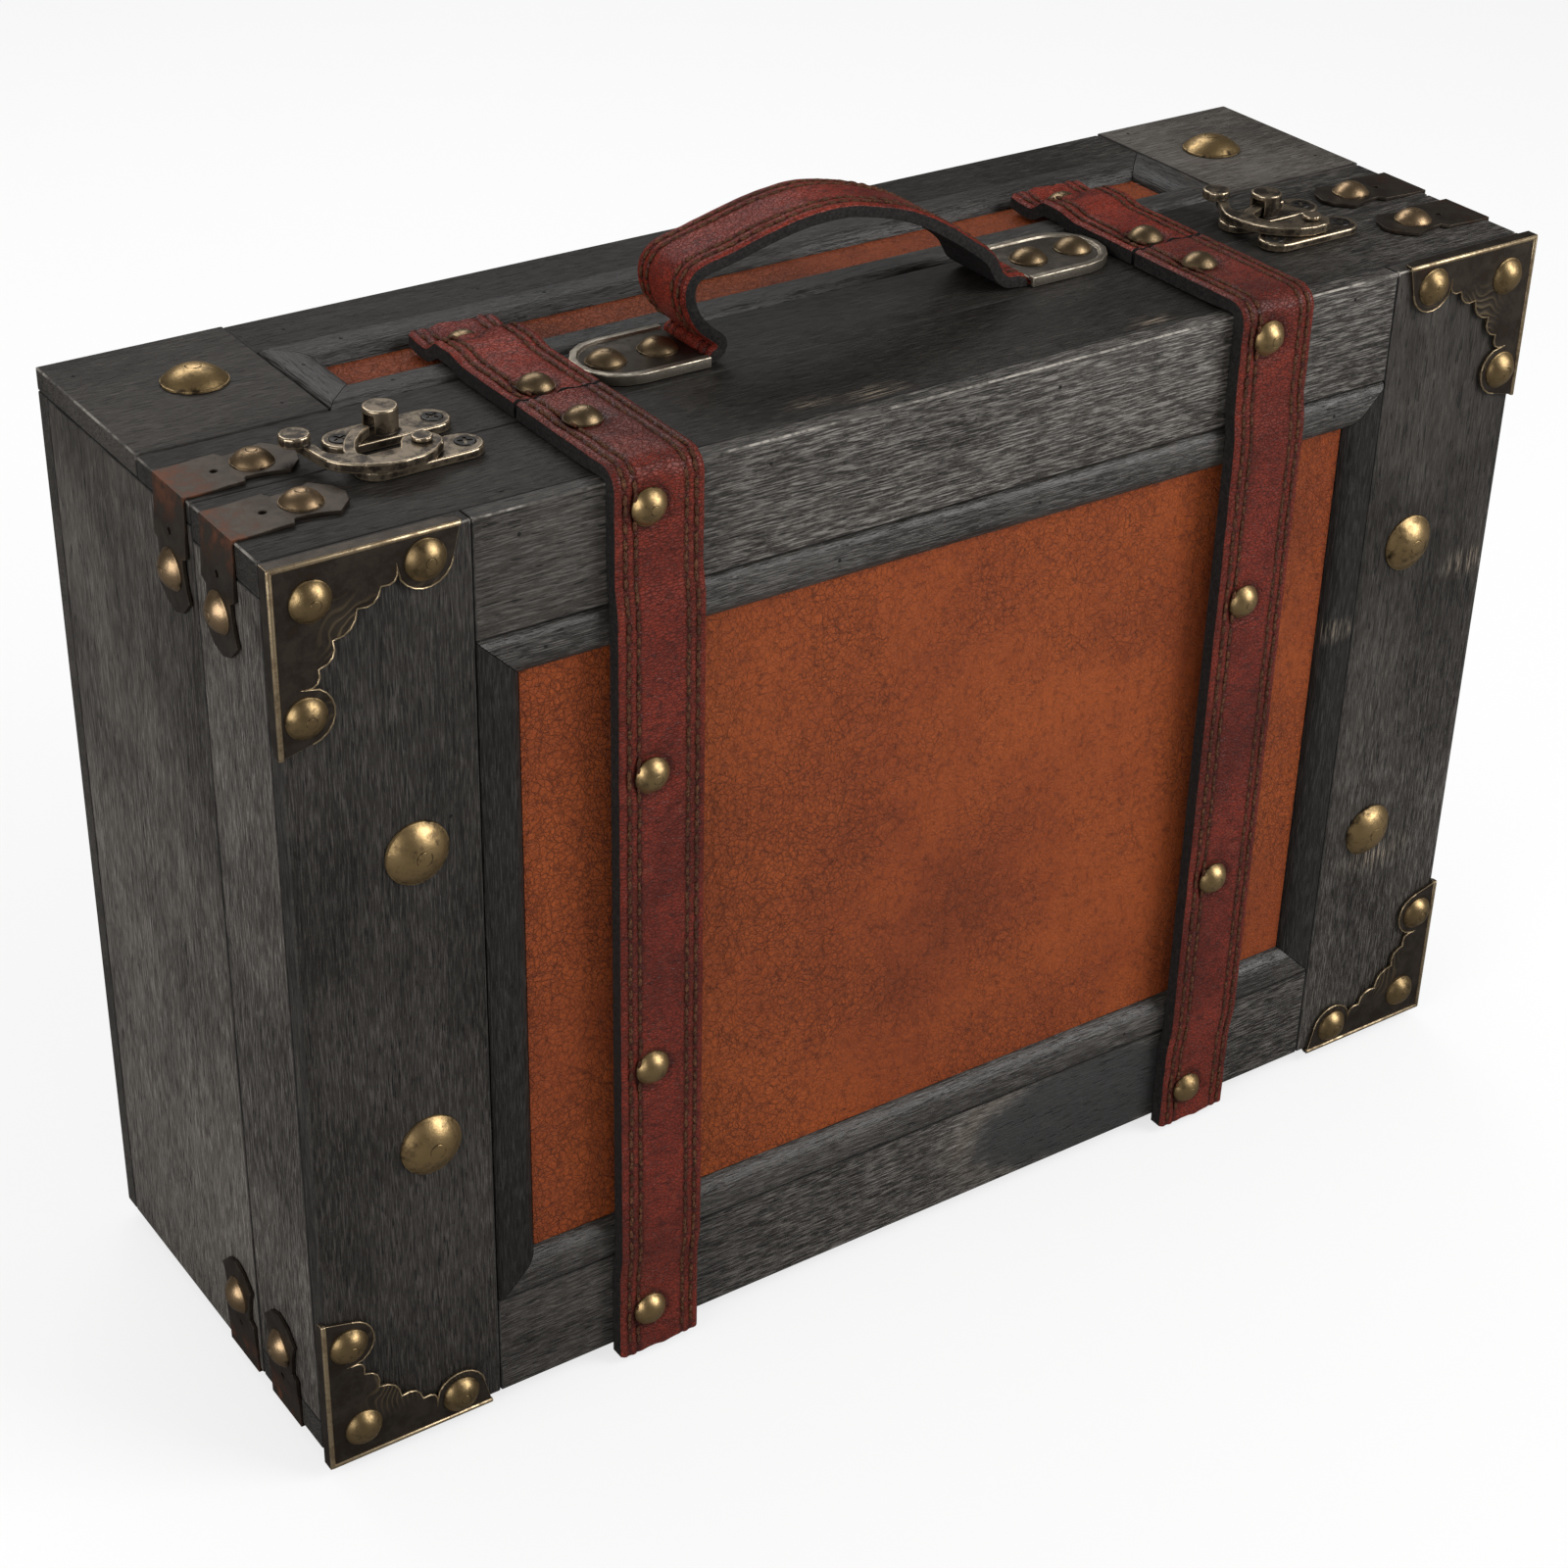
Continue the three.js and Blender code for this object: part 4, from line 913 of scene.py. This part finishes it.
# wander is how uneven the ends are cut; the strap rises by crest over the moulding
strap = {"width": 22.3, "thick": 4.0, "crown": 0.25, "wander": 0.5, "smooth": 50, "seam": (1.5, 1.0),
         "outer": 4.45, "crest": 1.2, "bend": 5.4, "centre": 86.75, "below": 1.5,
         "rise": (214.0, 203.0), "fall": (20.5, 32.0), "thinBy": 0.5, "thinAt": 21, "thinOver": 7,
         "studShift": 2.8, "studRadius": 4.9, "topStud": -36.0,
         "leftStuds": (229.4, 164.3, 84.7, 10.4), "rightStuds": (229.4, 159.4, 77.4, 8.4)}


def ease(value, low, high):
    share = min(max((value - low) / (high - low), 0), 1)
    return share * share * (3 - 2 * share)


def strapLine():
    # in the plane of Y and Z, from the parting over the top edge and down the front
    top = case["height"] + strap["outer"]
    face = frontY - strap["outer"]
    r = strap["bend"]
    points = [Vector((case["parting"] - 0.3 - t, top)) for t in range(0, 33)]
    points = [p for p in points if p.x > face + r]
    centre = Vector((face + r, top - r))
    for k in range(11):
        a = math.pi / 2 * k / 10
        points.append(centre + r * Vector((-math.sin(a), math.cos(a))))
    z = top - r - 1
    while z > -strap["below"]:
        lift = strap["crest"] * ease(z, *strap["rise"]) * ease(z, *strap["fall"])
        points.append(Vector((face - lift, z)))
        z -= 1.0
    points.append(Vector((face, -strap["below"])))
    return [(travel, p, -n) for travel, p, n in alongLine(points, ribbonShape["along"])]


def travelAt(line, test):
    return min(line, key=lambda item: test(item[1]))[0]


def studDents(line, tests):
    # travel, place across and radius of the hollow at each stud
    return [(travelAt(line, test), -strap["studShift"], strap["studRadius"]) for test in tests]


def strapWays(centre):
    # from travel on the strap to the case, and back
    return (lambda across, point: Vector((centre + across, point.x, point.y)),
            lambda place: (Vector((place.y, place.z)), place.x - centre))


def makeStrap(side, sign, studs):
    line = strapLine()
    tests = [lambda p, z=z: abs(p.y - z) for z in studs]
    dents = studDents(line, [lambda p: abs(p.x - strap["topStud"])] + tests)

    def thickness(travel):
        # a little thinner where it turns over the edge
        past = (travel - dents[0][0] - strap["thinAt"]) / strap["thinOver"]
        return strap["thick"] - strap["thinBy"] * math.exp(-past ** 2)

    sewnPiece(side + "_strap", "lid", side + "_strap", "red", strap, line, thickness,
              strapWays(sign * strap["centre"]), dents)


# the tab runs up to the moulding at frame, over it, down to the leather strip, and its end curls up by lift
tab = {"width": strap["width"], "crown": strap["crown"], "wander": 1.3, "smooth": 50, "seam": (1.5, 2.5),
       "start": -21.7, "frame": 4.4, "mould": 10.8, "panelDrop": 2.0, "end": 28.1, "lift": 0.7, "curl": 7,
       "up": (-3.4, 4.0), "down": (-1.2, 4.4), "frontStud": -15.8, "rearStud": 16.5, "rearLift": 0.5,
       "thick": 3.9, "thinBy": 0.5, "thinFrom": (36, 42)}


def tabLine():
    top = case["height"] + strap["outer"]
    points = []
    y = tab["start"]
    while y <= tab["end"] + 0.01:
        past = y - tab["frame"]
        over = strap["crest"] * ease(past, *tab["up"])
        down = (strap["crest"] + tab["panelDrop"]) * ease(past - tab["mould"], *tab["down"])
        curl = tab["lift"] * ease(y, tab["end"] - tab["curl"], tab["end"])
        points.append(Vector((y, top + over - down + curl)))
        y += 0.5
    return alongLine(points, 1.0)


def makeTab(side, sign):
    line = tabLine()
    dents = studDents(line, [lambda p, y=y: abs(p.x - y) for y in (tab["frontStud"], tab["rearStud"])])

    def thickness(travel):
        return tab["thick"] - tab["thinBy"] * ease(travel, *tab["thinFrom"])

    sewnPiece(side + "_tab", "base", side + "_strap_tab", "redTop", tab, line, thickness,
              strapWays(sign * strap["centre"]), dents)


# shares are the handle's middle line: across in gaps between the plates, up in parts of its rise
handle = {"width": 20.0, "thick": 3.2, "thin": 0.9, "thinTo": (2.6, 5.4), "crown": 0.12, "wander": 0.0,
          "smooth": 55, "seam": (14, 5), "middleY": -8.3, "inner": 46.0, "rise": 29.45, "floor": 235.25,
          "shares": [(-1.06, 0.016), (-0.9935, 0.018), (-0.965, 0.069), (-0.936, 0.09), (-0.924, 0.135),
                     (-0.936, 0.18), (-0.985, 0.243), (-1.048, 0.338), (-1.095, 0.46), (-1.113, 0.585),
                     (-1.098, 0.69), (-1.03, 0.775), (-0.85, 0.84), (-0.65, 0.92), (-0.43, 0.985), (-0.21, 1.0),
                     (0, 0.94), (0.175, 0.857), (0.337, 0.742), (0.505, 0.582), (0.643, 0.432), (0.735, 0.315),
                     (0.778, 0.215), (0.81, 0.135), (0.862, 0.08), (0.935, 0.066), (0.972, 0.042),
                     (0.9935, 0.018), (1.06, 0.016)]}


def curved(points, steps):
    # smooth curve through the points
    made = []
    ends = [points[0]] + points + [points[-1]]
    for a, b, c, d in zip(ends, ends[1:], ends[2:], ends[3:]):
        for k in range(steps):
            t = k / steps
            made.append(0.5 * ((2 * b) + (c - a) * t + (2 * a - 5 * b + 4 * c - d) * t * t
                               + (3 * b - a - 3 * c + d) * t * t * t))
    made.append(points[-1])
    return made


def makeHandle():
    gap, floor, rise = (handle[key] for key in ("inner", "floor", "rise"))
    middle = [Vector((x * gap, floor + z * rise)) for x, z in handle["shares"]]
    inner = alongLine(curved(middle, 8), 0.6)
    total = inner[-1][0]

    def half(travel):
        near = min(travel, total - travel)
        return 0.5 * (handle["thin"] + (handle["thick"] - handle["thin"]) * ease(near, *handle["thinTo"]))

    outer = [(travel, p + n * half(travel), n) for travel, p, n in inner]

    def space(across, point):
        return Vector((point.x, handle["middleY"] + across, point.y))

    def flat(place):
        return Vector((place.x, place.z)), place.y - handle["middleY"]

    sewnPiece("handle", "base", "handle", "redTop", handle, outer, lambda travel: 2 * half(travel),
              (space, flat))


for side, sign, studs in (("left", -1, strap["leftStuds"]), ("right", 1, strap["rightStuds"])):
    makeStrap(side, sign, studs)
    makeTab(side, sign)
makeHandle()
print("straps and handle made")


stud = {"radius": 4.85, "height": 2.9, "strapRadius": 4.45, "largeRadius": 7.75, "largeHeight": 3.75,
        "sheet": 1.15, "lip": 0.28, "lipAt": (0.86, 0.97), "under": 0.1, "sink": 0.25, "lean": 0.035}


def domeMaster(radius, height):
    bpy.ops.mesh.primitive_uv_sphere_add(segments=40, ring_count=28, radius=1)
    dome = bpy.context.object
    opened(dome)
    bpy.ops.mesh.bisect(plane_co=(0, 0, 0.02), plane_no=(0, 0, 1), clear_inner=True, use_fill=True)
    closed()
    ball = (radius * radius + height * height) / (2 * height)  # radius of the sphere that the cap is cut from
    for vertex in dome.data.vertices:
        around = min(math.hypot(vertex.co.x, vertex.co.y), 1.0) * radius
        rise = math.sqrt(ball * ball - around * around) - (ball - height)
        lip = stud["lip"] * ease(around / radius, *stud["lipAt"])
        level = -stud["under"] if vertex.co.z < 0.03 else max(rise, lip)
        vertex.co = Vector((vertex.co.x * radius, vertex.co.y * radius, level))
    fixNormals(dome)
    smoothed(dome, 50)
    mark(dome, "crown", lambda p: min(max(p.z / height, 0), 1))
    return dome


smallDome = domeMaster(stud["radius"], stud["height"])
strapDome = domeMaster(stud["strapRadius"], stud["height"])
largeDome = domeMaster(stud["largeRadius"], stud["largeHeight"])
ways = {"front": Matrix(((1, 0, 0), (0, 0, -1), (0, 1, 0))),
        "up": Matrix.Identity(3),
        "down": Matrix(((1, 0, 0), (0, -1, 0), (0, 0, -1))),
        "left": Matrix(((0, 0, -1), (0, 1, 0), (1, 0, 0))),
        "right": Matrix(((0, 0, 1), (0, 1, 0), (-1, 0, 0)))}


def domes(name, body, master, places, finish="dome", slot="antique_brass", stands=()):
    made = []
    for x, y, z, way in places:
        lean = Matrix.Rotation(random.uniform(-stud["lean"], stud["lean"]), 3, "X")
        turn = ways[way] @ lean @ Matrix.Rotation(random.uniform(0, 6.28), 3, "Z")
        made.append(copied(master, Matrix.Translation((x, y, z)) @ turn.to_4x4()))
    piece = joinAll(made)
    wearing(piece, finish)
    return finishPiece(piece, name, body, slot, stands)


def strapDomes():
    for side, sign, heights in (("left", -1, strap["leftStuds"]), ("right", 1, strap["rightStuds"])):
        x = sign * strap["centre"] - strap["studShift"]
        face = frontY - strap["outer"] + stud["sink"]
        crest = face - strap["crest"]
        top = case["height"] + strap["outer"] - stud["sink"]
        places = [(x, face if i in (0, 3) else crest, z, "front") for i, z in enumerate(heights)]
        domes(side + "_strap_domes", "lid", strapDome, places)
        domes(side + "_strap_top_dome", "lid", strapDome, [(x, strap["topStud"], top, "up")], "agedDome")
        rear = top - tab["panelDrop"] + tab["rearLift"]
        places = [(x, tab["frontStud"], top, "up"), (x, tab["rearStud"], rear, "up")]
        domes(side + "_tab_domes", "base", strapDome, places, "agedDome")


corners = {"top_left": (-1, 1), "top_right": (1, 1), "bottom_left": (-1, -1), "bottom_right": (1, -1)}
# A bevel is width, segments and the least angle.
# What an iron's lip has past lipStart is shortened to lipShare of it.
iron = {"studs": ((8, 8), (34, 5.5), (5.5, 34)), "proud": 1.15, "lipStart": 0.6, "lipShare": 0.42,
        "bevel": (0.28, 2, 40), "scroll": (9, 14)}
# the sheet is thin near the end of the case and full under the stud; the left ones are more worn at the fold
brackets = {"base": -12.6, "lid": -35.5, "stud": 18.8, "thin": 0.55, "thinTo": (3.0, 13.0),
            "bevel": (0.16, 2, 40), "wornTo": 9.0, "worn": {-1: 1.0, 1: 0.3}}


def atHeight(level, inset):
    return case["height"] - inset if level > 0 else inset


def cornerDomes():
    for key, (side, level) in corners.items():
        places = [(side * (halfLength - a), frontY - iron["proud"], atHeight(level, d), "front")
                  for a, d in iron["studs"]]
        domes("iron_domes_" + key, "lid", smallDome, places, "ironDome")
        for half, y in (("base", brackets["base"]), ("lid", brackets["lid"])):
            x = side * (halfLength - brackets["stud"])
            endZ = case["height"] + stud["sheet"] if level > 0 else -stud["sheet"]
            places = [(x, y, endZ, "up" if level > 0 else "down"),
                      (side * (halfLength + stud["sheet"]), y, atHeight(level, brackets["stud"]),
                       "left" if side < 0 else "right")]
            domes(f"{half}_bracket_domes_{key}", half, smallDome, places, "copperDome")


# the way that each kind of large stud points, its body and where its studs are
largeStuds = {"front_stud": ("front", "lid", ("left_upper", "left_lower", "right_upper", "right_lower")),
              "top_stud": ("up", "base", ("left", "right")),
              "rear_foot": ("down", "base", ("left", "right"))}


def largeDomes():
    for kind, (way, body, spots) in largeStuds.items():
        for spot in spots:
            node = f"{kind}_{spot}"
            low, high = (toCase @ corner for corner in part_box(node))
            x, y, z = (low + high) / 2
            seats = {"front": (x, high.y, z), "up": (x, y, low.z), "down": (x, y, high.z)}
            domes(node + "_dome", body, largeDome, [(*seats[way], way)], stands=[node])


strapDomes()
cornerDomes()
largeDomes()
print("studs made")


def flatFront(p):
    return Vector((p.x, max(p.y, frontY - iron["proud"]), p.z))


def flatBracket(p):
    sheet = stud["sheet"]
    reach = halfLength + sheet
    return Vector((min(max(p.x, -reach), reach), p.y, min(max(p.z, -sheet), case["height"] + sheet)))


def makeIrons():
    for key, (side, level) in corners.items():
        node = "corner_iron_" + key
        piece = sheetFrom(node, *iron["bevel"], flatFront)
        for vertex in piece.data.vertices:
            beyond = vertex.co.y - frontY - iron["lipStart"]
            if beyond > 0:
                vertex.co.y = frontY + iron["lipStart"] + beyond * iron["lipShare"]
        wearing(piece, "bronze", "brassEdge")
        smoothed(piece, 30)
        divide(piece, 2)

        def scroll(p):
            inward = min(halfLength - side * p.x, atHeight(level, p.z))
            return ease(inward, *iron["scroll"]) if p.y < frontY - 0.3 else 0.0

        mark(piece, "fold", lambda p: 0.0)
        mark(piece, "scroll", scroll)
        finishPiece(piece, "iron_" + key, "lid", "dark_bronze", [node])


bead = {"inset": 0.50, "proud": 0.92, "radius": 0.64, "middle": 20.8, "length": 43.4,
        "wire": 0.24, "sunk": 0.06, "clear": 4.6, "fold": 1.5}


def foldLines():
    # bright rolled bead along the folds of each corner iron
    for key, (side, level) in corners.items():
        beads = []
        z = case["height"] + bead["inset"] if level > 0 else -bead["inset"]
        x = side * (halfLength + bead["inset"])
        y = frontY - bead["proud"]
        runs = [((side * (halfLength - bead["middle"]), y, z), (0, math.pi / 2, 0)),
                ((x, y, atHeight(level, bead["middle"])), (0, 0, 0))]
        for middle, turn in runs:
            beads.append(rod(12, bead["radius"], bead["length"], middle, turn, 0.3, 2))
        dressed(joinAll(beads), ("brassEdge",), 50, "iron_bead_" + key, "lid", "dark_bronze")


def cutEdges():
    # the outline of an iron's face, without the folds and what its studs cover
    for key, (side, level) in corners.items():
        thing = nodeCopy("corner_iron_" + key, flatFront)
        mesh = thing.data
        used = {}
        for face in mesh.polygons:
            if face.normal.y < -0.9 and face.center.y < frontY - iron["proud"] + 0.1:
                for pair in face.edge_keys:
                    used[pair] = used.get(pair, 0) + 1

        def hidden(spot):
            x, z = halfLength - side * spot.x, atHeight(level, spot.z)
            near = min(math.hypot(x - studX, z - studZ) for studX, studZ in iron["studs"])
            return near < bead["clear"] or min(x, z) < bead["fold"]

        pairs = [pair for pair, count in used.items() if count == 1]
        pairs = [pair for pair in pairs if not any(hidden(mesh.vertices[i].co) for i in pair)]
        spots = sorted({i for pair in pairs for i in pair})
        number = {old: new for new, old in enumerate(spots)}
        lift = Vector((0, bead["sunk"], 0))
        line = bpy.data.meshes.new("outline")
        line.from_pydata([mesh.vertices[i].co + lift for i in spots],
                         [(number[a], number[b]) for a, b in pairs], [])
        bpy.data.objects.remove(thing)
        wire = bpy.data.objects.new("outline", line)
        collection.objects.link(wire)
        only(wire)
        bpy.ops.object.convert(target="CURVE")
        wire = bpy.context.object
        wire.data.bevel_depth = bead["wire"]
        wire.data.bevel_resolution = 1
        wire.data.use_fill_caps = True
        bpy.ops.object.convert(target="MESH")
        dressed(bpy.context.object, ("brassEdge",), 60, "iron_outline_" + key, "lid", "dark_bronze")


def makeBrackets():
    for key, (side, level) in corners.items():
        for half in ("base", "lid"):
            node = f"{half}_bracket_{key}"
            piece = sheetFrom(node, *brackets["bevel"], flatBracket)
            wearing(piece, "bronze", "bronze")
            smoothed(piece, 30)
            divide(piece, 3)
            for vertex in piece.data.vertices:
                p = vertex.co
                over = max(p.z - case["height"], -p.z)
                out = abs(p.x) - halfLength
                away = halfLength - abs(p.x) if over > 0 else min(p.z, case["height"] - p.z)
                close = brackets["thin"] + (1 - brackets["thin"]) * ease(away, *brackets["thinTo"])
                if over > 0:
                    p.z -= math.copysign(over * (1 - close), p.z - 1)
                if out > 0:
                    p.x -= math.copysign(out * (1 - close), p.x)
            applied(piece, "WEIGHTED_NORMAL", weight=90, keep_sharp=True)

            def fold(p):
                endZ = min(abs(p.z), abs(case["height"] - p.z))
                endX = abs(halfLength - abs(p.x))
                return brackets["worn"][side] * max(0.0, 1 - max(endZ, endX) / brackets["wornTo"]) ** 0.7

            mark(piece, "fold", fold)
            mark(piece, "scroll", lambda p: 0.0)
            finishPiece(piece, node + "_sheet", half, "dark_bronze", [node])


cutEdges()
makeIrons()
foldLines()
makeBrackets()
print("corner irons and brackets made")


plateStuds = {"along": (7.3, 21.1), "floor": 2.2, "reach": 5.7, "rim": 0.1, "bevel": (0.3, 3, 50)}


def flatPlate(p):
    x, y = abs(p.x) - handle["inner"], p.y - handle["middleY"]
    near = min(math.hypot(x - along, y) for along in plateStuds["along"])
    low = Vector((p.x, p.y, min(p.z, case["height"] + plateStuds["floor"])))
    return low if near < plateStuds["reach"] else p


def makeHandlePlates():
    for side, sign in (("left", -1), ("right", 1)):
        node = side + "_handle_plate"
        piece = sheetFrom(node, *plateStuds["bevel"], flatPlate)
        floor = case["height"] + plateStuds["floor"]
        for face in piece.data.polygons:
            raised = face.center.z > floor + plateStuds["rim"] or face.normal.z < 0.5
            if face.material_index == 0 and raised:
                face.material_index = 2
        dressed(piece, ("plate", "plateRim", "plateWall"), 30, node + "_cover", "base", "dark_steel", [node])
        places = [(sign * (handle["inner"] + along), handle["middleY"], floor, "up")
                  for along in plateStuds["along"]]
        domes(side + "_handle_domes", "base", smallDome, places, "agedDome")


latch = {"plateX": 125.7, "hookY": -29.4, "catchY": -14.7, "spacing": 22.0, "top": 2.35, "cell": 0.22,
         "plateRounds": 6, "hookRounds": 10, "screwRadius": 2.5, "screwDeep": 0.8, "screwUp": 0.14,
         "screwClear": 0.4, "cross": (3.3, 0.75, 1.1)}


def screwMaster():
    head = rod(32, latch["screwRadius"], latch["screwDeep"], (0, 0, -0.3), (0, 0, 0), 0.28, 3)
    arm = block((0, 0, 0.1), latch["cross"])
    twin = copied(arm, Matrix.Rotation(math.pi / 2, 4, "Z"))
    for cutter in (arm, twin):
        applied(head, "BOOLEAN", operation="DIFFERENCE", object=cutter, solver="EXACT")
        bpy.data.objects.remove(cutter)
    smoothed(head, 40)
    return head


def flatScrews(p):
    top = case["height"] + latch["top"]
    for y in (latch["hookY"], latch["catchY"]):
        for along in (-1, 1):
            across = abs(p.x) - latch["plateX"] - along * latch["spacing"] / 2
            if math.hypot(across, p.y - y) < latch["screwRadius"] + latch["screwClear"]:
                return Vector((p.x, p.y, min(p.z, top)))
    return p


def makeLatches():
    screw = screwMaster()
    for side, sign in (("left", -1), ("right", 1)):
        for kind, body, y in (("_hook_plate", "lid", latch["hookY"]),
                              ("_catch_plate", "base", latch["catchY"])):
            node = side + kind
            piece = castingFrom(node, latch["cell"], latch["plateRounds"], flatScrews)
            dressed(piece, ("latch",), 60, node + "_casting", body, "worn_brass", [node])
            screws = []
            for along in (-1, 1):
                place = Matrix.Translation((sign * latch["plateX"] + along * latch["spacing"] / 2, y,
                                            case["height"] + latch["top"] + latch["screwUp"]))
                screws.append(copied(screw, place @ Matrix.Rotation(random.uniform(0, 1.5), 4, "Z")))
            heads = joinAll(screws)
            wearing(heads, "screw")
            finishPiece(heads, node + "_screws", body, "worn_brass")
        node = side + "_hook"
        piece = castingFrom(node, latch["cell"], latch["hookRounds"])
        dressed(piece, ("latch",), 60, node + "_casting", node, "worn_brass", [node])
    bpy.data.objects.remove(screw)


def makeHinges():
    for side in ("left", "right"):
        for node, body in ((side + "_hinge_base_leaf", "base"), (side + "_hinge_lid_leaf", "lid")):
            piece = sheetFrom(node, 0.12, 2, 40)
            dressed(piece, ("leaf", "brassEdge"), 30, node + "_sheet", body, "worn_brass", [node])


makeHandlePlates()
makeLatches()
makeHinges()
for master in (smallDome, strapDome, largeDome):
    bpy.data.objects.remove(master)
print("metalwork made")


# Small nails hold the boards and mouldings, sunk and stained black.
# nailRows has the body, the face and how far it stands past the boards, and each nail along it.
nails = {"radius": 0.55, "deep": 0.5, "proud": 0.03, "crest": 1.2, "end": 0.4}
nailRows = (
    ("lid", "front", 0.0, ((-118.5, 228.7), (-55.8, 229.3), (24.0, 228.9), (115.5, 231.0), (-137.0, 166.4),
                           (-170.0, 193.2))),
    ("lid", "front", nails["crest"], ((-37.5, 201.4), (-113.4, 201.4), (-124.5, 189.5), (-124.5, 141.5),
                                      (112.0, 201.4), (19.4, 201.4), (-88.0, 32.9), (62.0, 32.9), (124.5, 60.0),
                                      (-124.5, 52.0), (124.5, 172.0))),
    ("lid", "up", 0.0, ((55.7, -33.9), (50.8, -30.3), (-95.8, -39.5), (-118.0, -50.5))),
    ("base", "up", 0.0, ((-118.1, 50.3), (-68.0, 48.7), (82.0, 50.0), (118.0, 54.5))),
    ("base", "up", nails["end"], ((-169.9, 49.2), (136.8, 54.0), (163.7, 53.1), (169.2, 14.8), (-137.0, 12.5))),
    ("base", "up", nails["crest"], ((-110.5, 36.2), (-124.5, 27.1), (-111.4, 9.4), (-56.9, 36.2), (124.5, 30.4),
                                    (121.8, 9.4))),
)


def makeNails():
    middle = (0, 0, nails["proud"] - nails["deep"] / 2)
    nail = rod(12, nails["radius"], nails["deep"], middle, (0, 0, 0), 0.1, 1)
    for body in ("lid", "base"):
        made = []
        for owner, way, past, spots in nailRows:
            for a, b in spots if owner == body else ():
                place = (a, frontY - past, b) if way == "front" else (a, b, case["height"] + past)
                made.append(copied(nail, Matrix.Translation(place) @ ways[way].to_4x4()))
        piece = joinAll(made)
        wearing(piece, "cut")
        finishPiece(piece, body + "_nails", body, "stained_wood")
    bpy.data.objects.remove(nail)


makeNails()
print("nails made")


# shine and floorShine are how bright the room and the floor look in reflections.
# Each lamp has its power, place, the point that it looks at, and its size, in metres.
lighting = {"world": 0.55, "shine": 0.045, "floorShine": 0.13, "floor": 0.86, "floorGlow": 0.72,
            "lamps": {"key": (11.0, (0.66, -0.78, 0.74), (0, 0, 0.12), (0.7, 0.9)),
                      "left": (9.0, (-1.20, -0.30, 0.50), (0, 0, 0.10), (1.0, 0.8)),
                      "rim": (4.5, (0.1, 0.85, 1.0), (0, 0, 0.2), (1.0, 0.5))}}


def makeFloor():
    bpy.ops.mesh.primitive_plane_add(size=8, location=(0, 0, -0.0002))
    floor = bpy.context.object
    floor.name = "floor"
    shader = Shader("paleFloor")
    camera = shader.add("ShaderNodeLightPath", None, None, "Is Camera Ray")
    glossy = shader.add("ShaderNodeLightPath", None, None, "Is Glossy Ray")
    shade = shader.mix(glossy, (lighting["floor"],) * 3, (lighting["floorShine"],) * 3)
    diffuse = shader.add("ShaderNodeBsdfDiffuse", None, {"Color": shade})
    glow = shader.add("ShaderNodeEmission", None, {"Color": (1.0, 1.0, 1.0), "Strength": 1.0})
    seen = shader.add("ShaderNodeMixShader", None, {0: camera * lighting["floorGlow"], 1: diffuse, 2: glow})
    floor.data.materials.append(shader.shown(seen))


def areaLight(name, power, place, aim, size):
    data = bpy.data.lights.new(name, "AREA")
    data.energy = power
    data.shape = "RECTANGLE"
    data.size, data.size_y = size
    lamp = bpy.data.objects.new(name, data)
    collection.objects.link(lamp)
    lamp.location = place
    lamp.rotation_mode = "QUATERNION"
    lamp.rotation_quaternion = (Vector(aim) - Vector(place)).to_track_quat("-Z", "Y")


def makeLight():
    world = bpy.data.worlds.new("studio")
    bpy.context.scene.world = world
    shader = Shader(world)
    sky = None
    strengths = ((None, lighting["world"]), ("Is Glossy Ray", lighting["shine"]), ("Is Camera Ray", 1.0))
    for ray, strength in strengths:
        # each ray that is named sees its own sky over the one before
        glow = shader.add("ShaderNodeBackground", None, {"Color": (1.0, 1.0, 1.0), "Strength": strength})
        if ray:
            isRay = shader.add("ShaderNodeLightPath", None, None, ray)
            glow = shader.add("ShaderNodeMixShader", None, {0: isRay, 1: sky, 2: glow})
        sky = glow
    shader.shown(sky, "ShaderNodeOutputWorld")
    for name, values in lighting["lamps"].items():
        areaLight(name, *values)
    bpy.context.scene.view_settings.view_transform = "Standard"


makeFloor()
makeLight()
print("floor and light placed")
